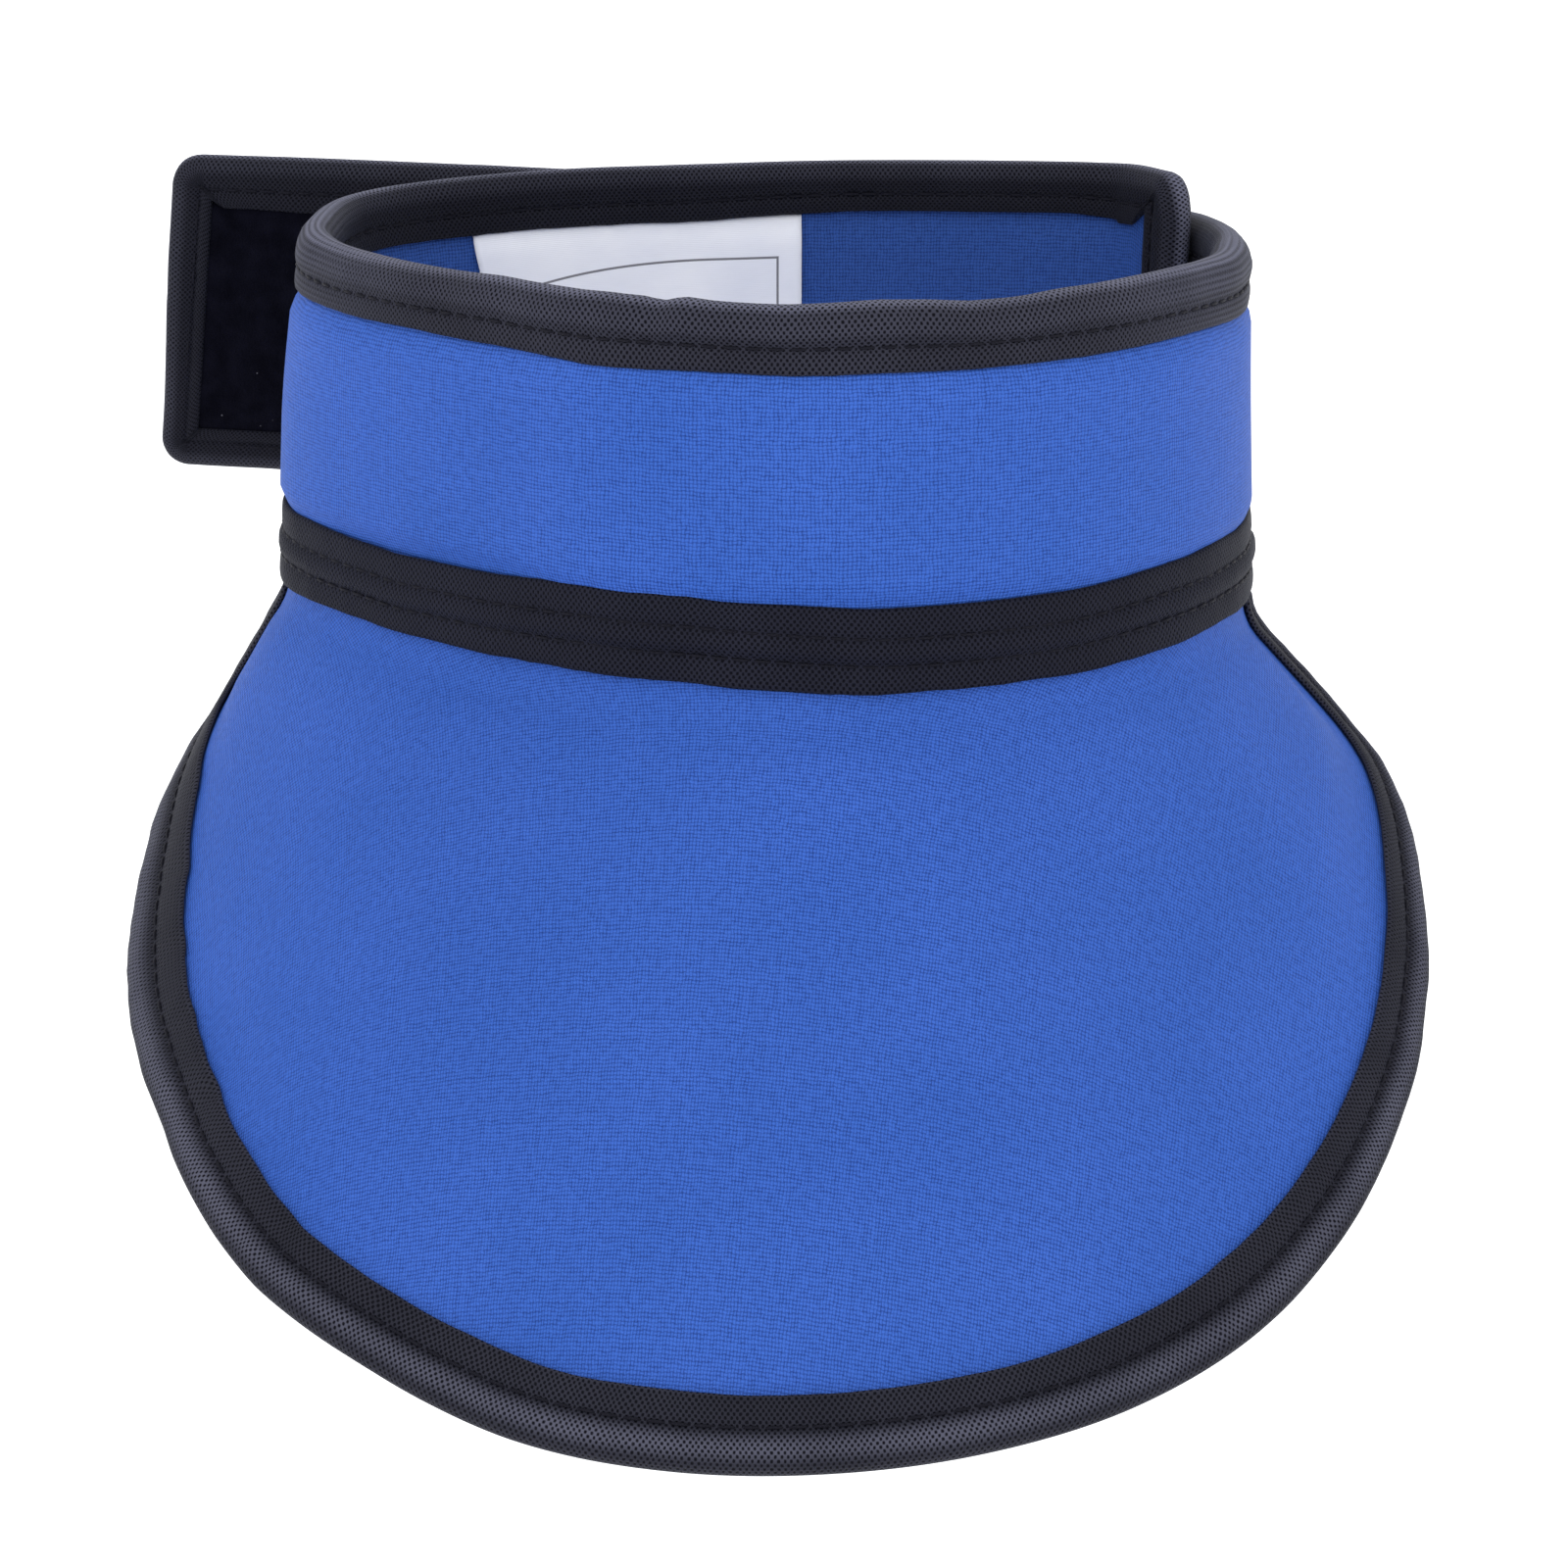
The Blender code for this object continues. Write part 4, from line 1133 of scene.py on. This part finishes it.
def bib_binding():
    """The folded tape round the bib, and its stitches."""
    travels = spaced(0.0, BIB_EDGE_LENGTH, TAPE_STEP)
    section = tape_section(BIB_TAPE_OUTER)
    inset = np.broadcast_to(section[:, 0], (len(travels), len(section)))
    out = np.broadcast_to(section[:, 1], inset.shape)
    t = travels[:, None]
    lip_inset = table_value(BIB_LIP_ROWS, BIB_LIP_COLUMNS, "lip", t)
    inset = lip_reach(inset, lip_inset, BIB_LIP_INSET)
    roll = 1.0 - ramp(inset, *ROLL_FADE)
    wobble = ripple("bib lip", t, 0.0) + ripple("bib lip, fine", t, out * 20)
    inset = inset + wobble * ramp(inset, *BIB_LIP_FADE)
    waves = ripple("bib roll", t, inset) + ripple("bib roll, fine", t, inset)
    out = out + np.sign(out) * waves * roll * ramp(np.abs(out), *EDGE_FADE)
    along, drop = bib_edge(t, inset)
    at_ends = ramp(t, BIB_END_LENGTH, 0.0) + ramp(t, BIB_EDGE_LENGTH - BIB_END_LENGTH, BIB_EDGE_LENGTH)
    drop = np.maximum(drop - BIB_END_LIFT * at_ends, BIB_BINDING_TOP)
    full = ramp(drop, BIB_BINDING_TOP, BIB_END_FULL_DROP)
    points = bib_surface(along, drop, out * (BIB_END_SHARE + (1.0 - BIB_END_SHARE) * full))
    piece = tape("bib_binding_tape", points, travels, section, BIB_TAPE)
    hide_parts("bib_binding")
    groove = lip_reach(BIB_GROOVE_INSET, lip_inset, BIB_LIP_INSET)[:, 0]
    along, drop = bib_edge(travels, groove)

    def line_at(out):
        return bib_surface(along, np.maximum(drop, BIB_BINDING_TOP), out)

    stitches("bib_stitches_outer", line_at, BIB_STITCH_OUT)
    stitches("bib_stitches_inner", line_at, -BIB_STITCH_OUT)


def seam_profile(along, run, beside, within):
    """A value along the strip: one beside the seam, another within it, and a short run between."""
    marks = (SEAM_START - run, SEAM_START, SEAM_END, SEAM_END + run)
    return np.interp(along, marks, (beside, within, within, beside))


def neck_swell(along, up):
    """How far the padding has swelled, from 0 beside a binding to 1 well clear of it."""
    held = seam_profile(along, SEAM_HOLD_RUN, BINDING_HOLD, SEAM_HOLD)
    clear = np.minimum(up - held, STRIP_HEIGHT - BINDING_HOLD - up)
    clear = np.minimum(clear, np.minimum(along - BINDING_HOLD, STRIP_LENGTH - BINDING_HOLD - along))
    return ramp(clear, *SWELL_FADE)


def neck_inner_depth(along, up):
    """How far the strip's inner face is from its middle."""
    under_pile = ramp(along, STRIP_LENGTH - 0.165, STRIP_LENGTH - 0.150)
    swell = neck_swell(along, up) * (1.0 - under_pile)
    back = ramp(along, 0.008, 0.02) * (1.0 - ramp(along, 0.12, 0.14))
    folds = ripple("strip folds", along, 0.25 * up) * swell * back
    return PANEL_THICKNESS / 2 + STRIP_INNER_SWELL * swell + folds


def puckers(name, u, v, swell):
    """Short puckers where the padding starts to swell, beside a binding."""
    return ripple(name, u, v) * swell * (1.0 - swell) * 4.0


def neck_panel():
    """The strip's padded panel."""
    marks = spaced(PANEL_EDGE_INSET, STRIP_LENGTH - PANEL_EDGE_INSET, STRIP_STEP)
    from_end = np.minimum(marks, STRIP_LENGTH - marks)
    bevel = CORNER_RADIUS * np.clip(1.0 - (from_end - PANEL_EDGE_INSET) / PANEL_BEVEL_RUN, 0.0, 1.0)
    joint = SEAM_JOINT_HEIGHT + SEAM_GAP / 2
    low = (seam_profile(marks, SEAM_STEP_RUN, PANEL_EDGE_INSET, joint) + bevel)[:, None]
    high = (STRIP_HEIGHT - PANEL_EDGE_INSET - bevel)[:, None]
    up = low + (high - low) * np.linspace(0.0, 1.0, PANEL_ROWS)
    along = np.broadcast_to(marks[:, None], up.shape)
    hook_zone = ramp(along, 0.010, 0.014) * (1.0 - ramp(along, 0.094, 0.110))
    swell = neck_swell(along, up)
    puff = STRIP_OUTER_SWELL - STRIP_SIDE_SWELL_LOSS * hump(along, RIGHT_SIDE, RIGHT_SIDE_WIDTH)
    outer = PANEL_THICKNESS / 2 + puff * swell * (1.0 - hook_zone)
    outer = outer + puckers("strip puckers", along, 0.0, swell) + ripple("strip waves", along, up) * swell
    outside = strip_surface(along, up, outer)
    inside = strip_surface(along, up, -neck_inner_depth(along, up))
    v = np.broadcast_to(up.mean(0), up.shape)
    piece = two_faced("neck_panel_cloth", outside, inside, along, v, NECK_NYLON, "blue_nylon", INNER_FACE_V_OFFSET)
    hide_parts("neck_panel")


def unrolled(along, drop):
    """Flat cloth coordinates of the flared bib, for its weave."""
    turn = (along - (SEAM_START + SEAM_END) / 2) / BIB_FLAT_RADIUS
    return (BIB_FLAT_RADIUS + drop) * np.sin(turn), (BIB_FLAT_RADIUS + drop) * np.cos(turn)


def bib_panel():
    """The bib's padded panel."""
    travels = spaced(0.0, BIB_EDGE_LENGTH, BIB_STEP)[:, None]
    first = bib_edge(0.0, BIB_BINDING_WIDTH)[0]
    last = bib_edge(BIB_EDGE_LENGTH, BIB_BINDING_WIDTH)[0]
    start = first + (last - first) * travels / BIB_EDGE_LENGTH
    joint = SEAM_GAP / 2 - SEAM_JOINT_HEIGHT
    end, drop = bib_edge(travels, BIB_BINDING_WIDTH)
    depth = np.concatenate([np.linspace(0.0, 0.2, 13), np.linspace(0.2, 1.0, 27)[1:]])
    tucked_along, tucked_drop = bib_edge(travels, np.array(BIB_TUCKED_INSETS) * MM)
    along = np.concatenate([start + depth * (end - start), tucked_along], axis=1)
    down = np.concatenate([joint + depth * (drop - joint), tucked_drop], axis=1)
    middle = bib_surface(along, down, 0.0)
    under_tape = len(depth) - 1
    to_edge = np.linalg.norm(middle - middle[:, under_tape][:, None], axis=-1)
    to_edge[:, under_tape:] = 0.0
    swell = ramp(np.minimum(to_edge, down - BIB_SWELL_FROM), 0.0, BIB_SWELL_RUN)
    x, z = middle[..., 0], middle[..., 2]
    waves = ripple("bib waves", x, z) * swell
    outer = PANEL_THICKNESS / 2 + BIB_OUTER_SWELL * swell + waves + puckers("bib puckers", x, z, swell)
    outside = bib_surface(along, down, outer)
    inside = bib_surface(along, down, -PANEL_THICKNESS / 2 - BIB_INNER_SWELL * swell + waves)
    piece = two_faced("bib_panel_cloth", outside, inside, *unrolled(along, down), BIB_NYLON, "blue_nylon")
    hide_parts("bib_panel")


def seam_tapes():
    """The ridged tape outside the seam, the plain tape inside and their stitches."""
    marks = spaced(SEAM_START, SEAM_END, TAPE_STEP)
    section = np.array(SEAM_SECTION) * MM
    wander = table_value(SEAM_WANDER_ROWS, SEAM_WANDER_COLUMNS, "rise", marks)[:, None]
    squeeze = np.interp(marks, SEAM_SQUEEZE_MARKS, SEAM_SQUEEZES)[:, None]

    def squeezed(height):
        return wander + SEAM_MIDDLE * MM + (height - SEAM_MIDDLE * MM) * squeeze

    up = squeezed(section[:, 0])
    out = np.broadcast_to(section[:, 1], up.shape)
    along = np.broadcast_to(marks[:, None], up.shape)
    edge = ramp(np.abs(up - SEAM_EDGE_MIDDLE), *SEAM_EDGE_FADE)
    up = up + (ripple("seam edge", along, 0.0) + ripple("seam edge, fine", along, out * 30)) * edge
    waves = ripple("seam face", along, up) + ripple("seam face, fine", along, up)
    points = bib_surface(along, -up, out + waves * ramp(out, *SEAM_FACE_FADE))
    outer = tape("seam_tape_outer", points, marks, section, SEAM_TAPE)
    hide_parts("seam_tape")
    for row in (named(SEAM_STITCH_COLUMNS, row) for row in SEAM_STITCH_ROWS):
        height = squeezed(row["height"])[:, 0]
        stitches(row["name"], lambda out: strip_surface(marks, height, out), row["out"])
    plain = np.array(SEAM_BACKING_SECTION) * MM
    points = strip_surface(marks[:, None], plain[:, 0], -plain[:, 1])
    inner = tape("seam_tape_inner", points, marks, plain, SEAM_TAPE)
    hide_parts("seam_backing")
    for row in (named(SEAM_STITCH_COLUMNS, row) for row in BACKING_STITCH_ROWS):
        stitches(row["name"], lambda out: strip_surface(marks, row["height"], out), row["out"])


def patch(name, start, end, low, high, outs, material, slot, node):
    """A thin patch on one face of the strip, with soft edges. Its outs are those of its two faces."""
    near, far = outs
    along, up = np.meshgrid(spaced(start, end, TAPE_STEP), np.linspace(low, high, PATCH_ROWS), indexing="ij")
    rim = np.minimum(np.minimum(along - start, end - along), np.minimum(up - low, high - up))
    share = PATCH_RIM_SHARE + (1.0 - PATCH_RIM_SHARE) * ramp(rim, 0.0, PATCH_RIM)
    outside = strip_surface(along, up, near + (far - near) * share)
    piece = two_faced(name, outside, strip_surface(along, up, near), along, up, material, slot)
    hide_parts(node)


def fastener():
    """The loop pile on the tab's inner face and the hooks on the inner end's outer face."""
    loop_start = STRIP_LENGTH - LOOP_PATCH_FROM_END - LOOP_PATCH_LENGTH
    patch("loop_pile_patch", loop_start, STRIP_LENGTH - LOOP_PATCH_END, LOOP_PATCH_LOW,
          STRIP_HEIGHT - LOOP_PATCH_HIGH, LOOP_PATCH_OUTS, PILE, "loop_pile", "loop_patch")
    patch("hook_tape_patch", HOOK_PATCH_START, HOOK_PATCH_START + HOOK_PATCH_LENGTH, HOOK_PATCH_MARGIN,
          STRIP_HEIGHT - HOOK_PATCH_MARGIN, HOOK_PATCH_OUTS, HOOKS, "hook_tape", "hook_patch")


def care_label():
    """The satin label, whose top edge is caught under the neck binding."""
    label_end = LABEL_START + LABEL_LENGTH
    marks = spaced(LABEL_START, label_end - LABEL_LEFT_HEM, LABEL_STEP)
    top = STRIP_HEIGHT - LABEL_TOP_INSET
    rows = np.linspace(top, top - LABEL_HEIGHT - LABEL_SLACK, LABEL_ROWS)
    along, up = np.meshgrid(marks, rows, indexing="ij")
    from_top = top - up
    side = np.minimum(along - LABEL_START, label_end - along)
    lifted = LABEL_LIFT * (1.0 + ramp(side, LABEL_SIDE_RUN, 0.0)) + ripple("label waves", along, up)
    depth = neck_inner_depth(along, up) + LABEL_GAP + lifted * ramp(from_top, 0.0, 0.006)
    left = ramp(along, label_end - LABEL_SIDE_RUN, label_end)
    drawn = LABEL_EDGE_DRAW * ramp(from_top, 0.001, 0.010)
    along = along + left * (LABEL_EDGE_WAVE * np.sin(from_top / LABEL_EDGE_WAVE_LENGTH) - drawn)
    outside = strip_surface(along, up, -depth - LABEL_THICKNESS)
    inside = strip_surface(along, up, -depth)
    u = along - LABEL_START
    piece = two_faced("care_label_satin", outside, inside, u, from_top, SATIN, "label_satin")
    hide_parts("care_label")


def studio():
    """A pale floor, soft light from above and the camera at the photograph's angle."""
    bpy.ops.mesh.primitive_plane_add(size=FLOOR_SIZE, location=(0.0, 0.0, FLOOR_HEIGHT))
    floor = bpy.context.object
    floor.name = "studio_floor"
    floor.data.materials.append(new_material("studio_floor_paper", FLOOR_FINISH))
    world = bpy.data.worlds.new("studio_sky")
    world.use_nodes = True
    world.node_tree.nodes["Background"].inputs["Color"].default_value = SKY_COLOUR
    world.node_tree.nodes["Background"].inputs["Strength"].default_value = SKY_STRENGTH
    bpy.context.scene.world = world
    for sun in (named(SUN_COLUMNS, row) for row in SUN_ROWS):
        light = bpy.data.lights.new(sun["name"], "SUN")
        light.energy = sun["energy"]
        light.angle = math.radians(sun["spread"])
        lamp = bpy.data.objects.new(sun["name"], light)
        lamp.rotation_euler = Euler([math.radians(part) for part in sun["turn"]])
        collection.objects.link(lamp)
    lens = bpy.data.cameras.new("photo_camera")
    lens.sensor_width = CAMERA_SENSOR
    lens.lens = CAMERA_LENS
    lens.clip_start = CAMERA_NEAREST
    camera = bpy.data.objects.new("photo_camera", lens)
    camera.location = CAMERA_PLACE
    camera.rotation_euler = (math.radians(90.0 - CAMERA_PITCH), 0.0, 0.0)
    collection.objects.link(camera)
    bpy.context.scene.camera = camera
    bpy.context.scene.view_settings.view_transform = "Standard"


studio()
neck_panel()
bib_panel()
neck_binding()
neck_stitches()
bib_binding()
seam_tapes()
fastener()
care_label()
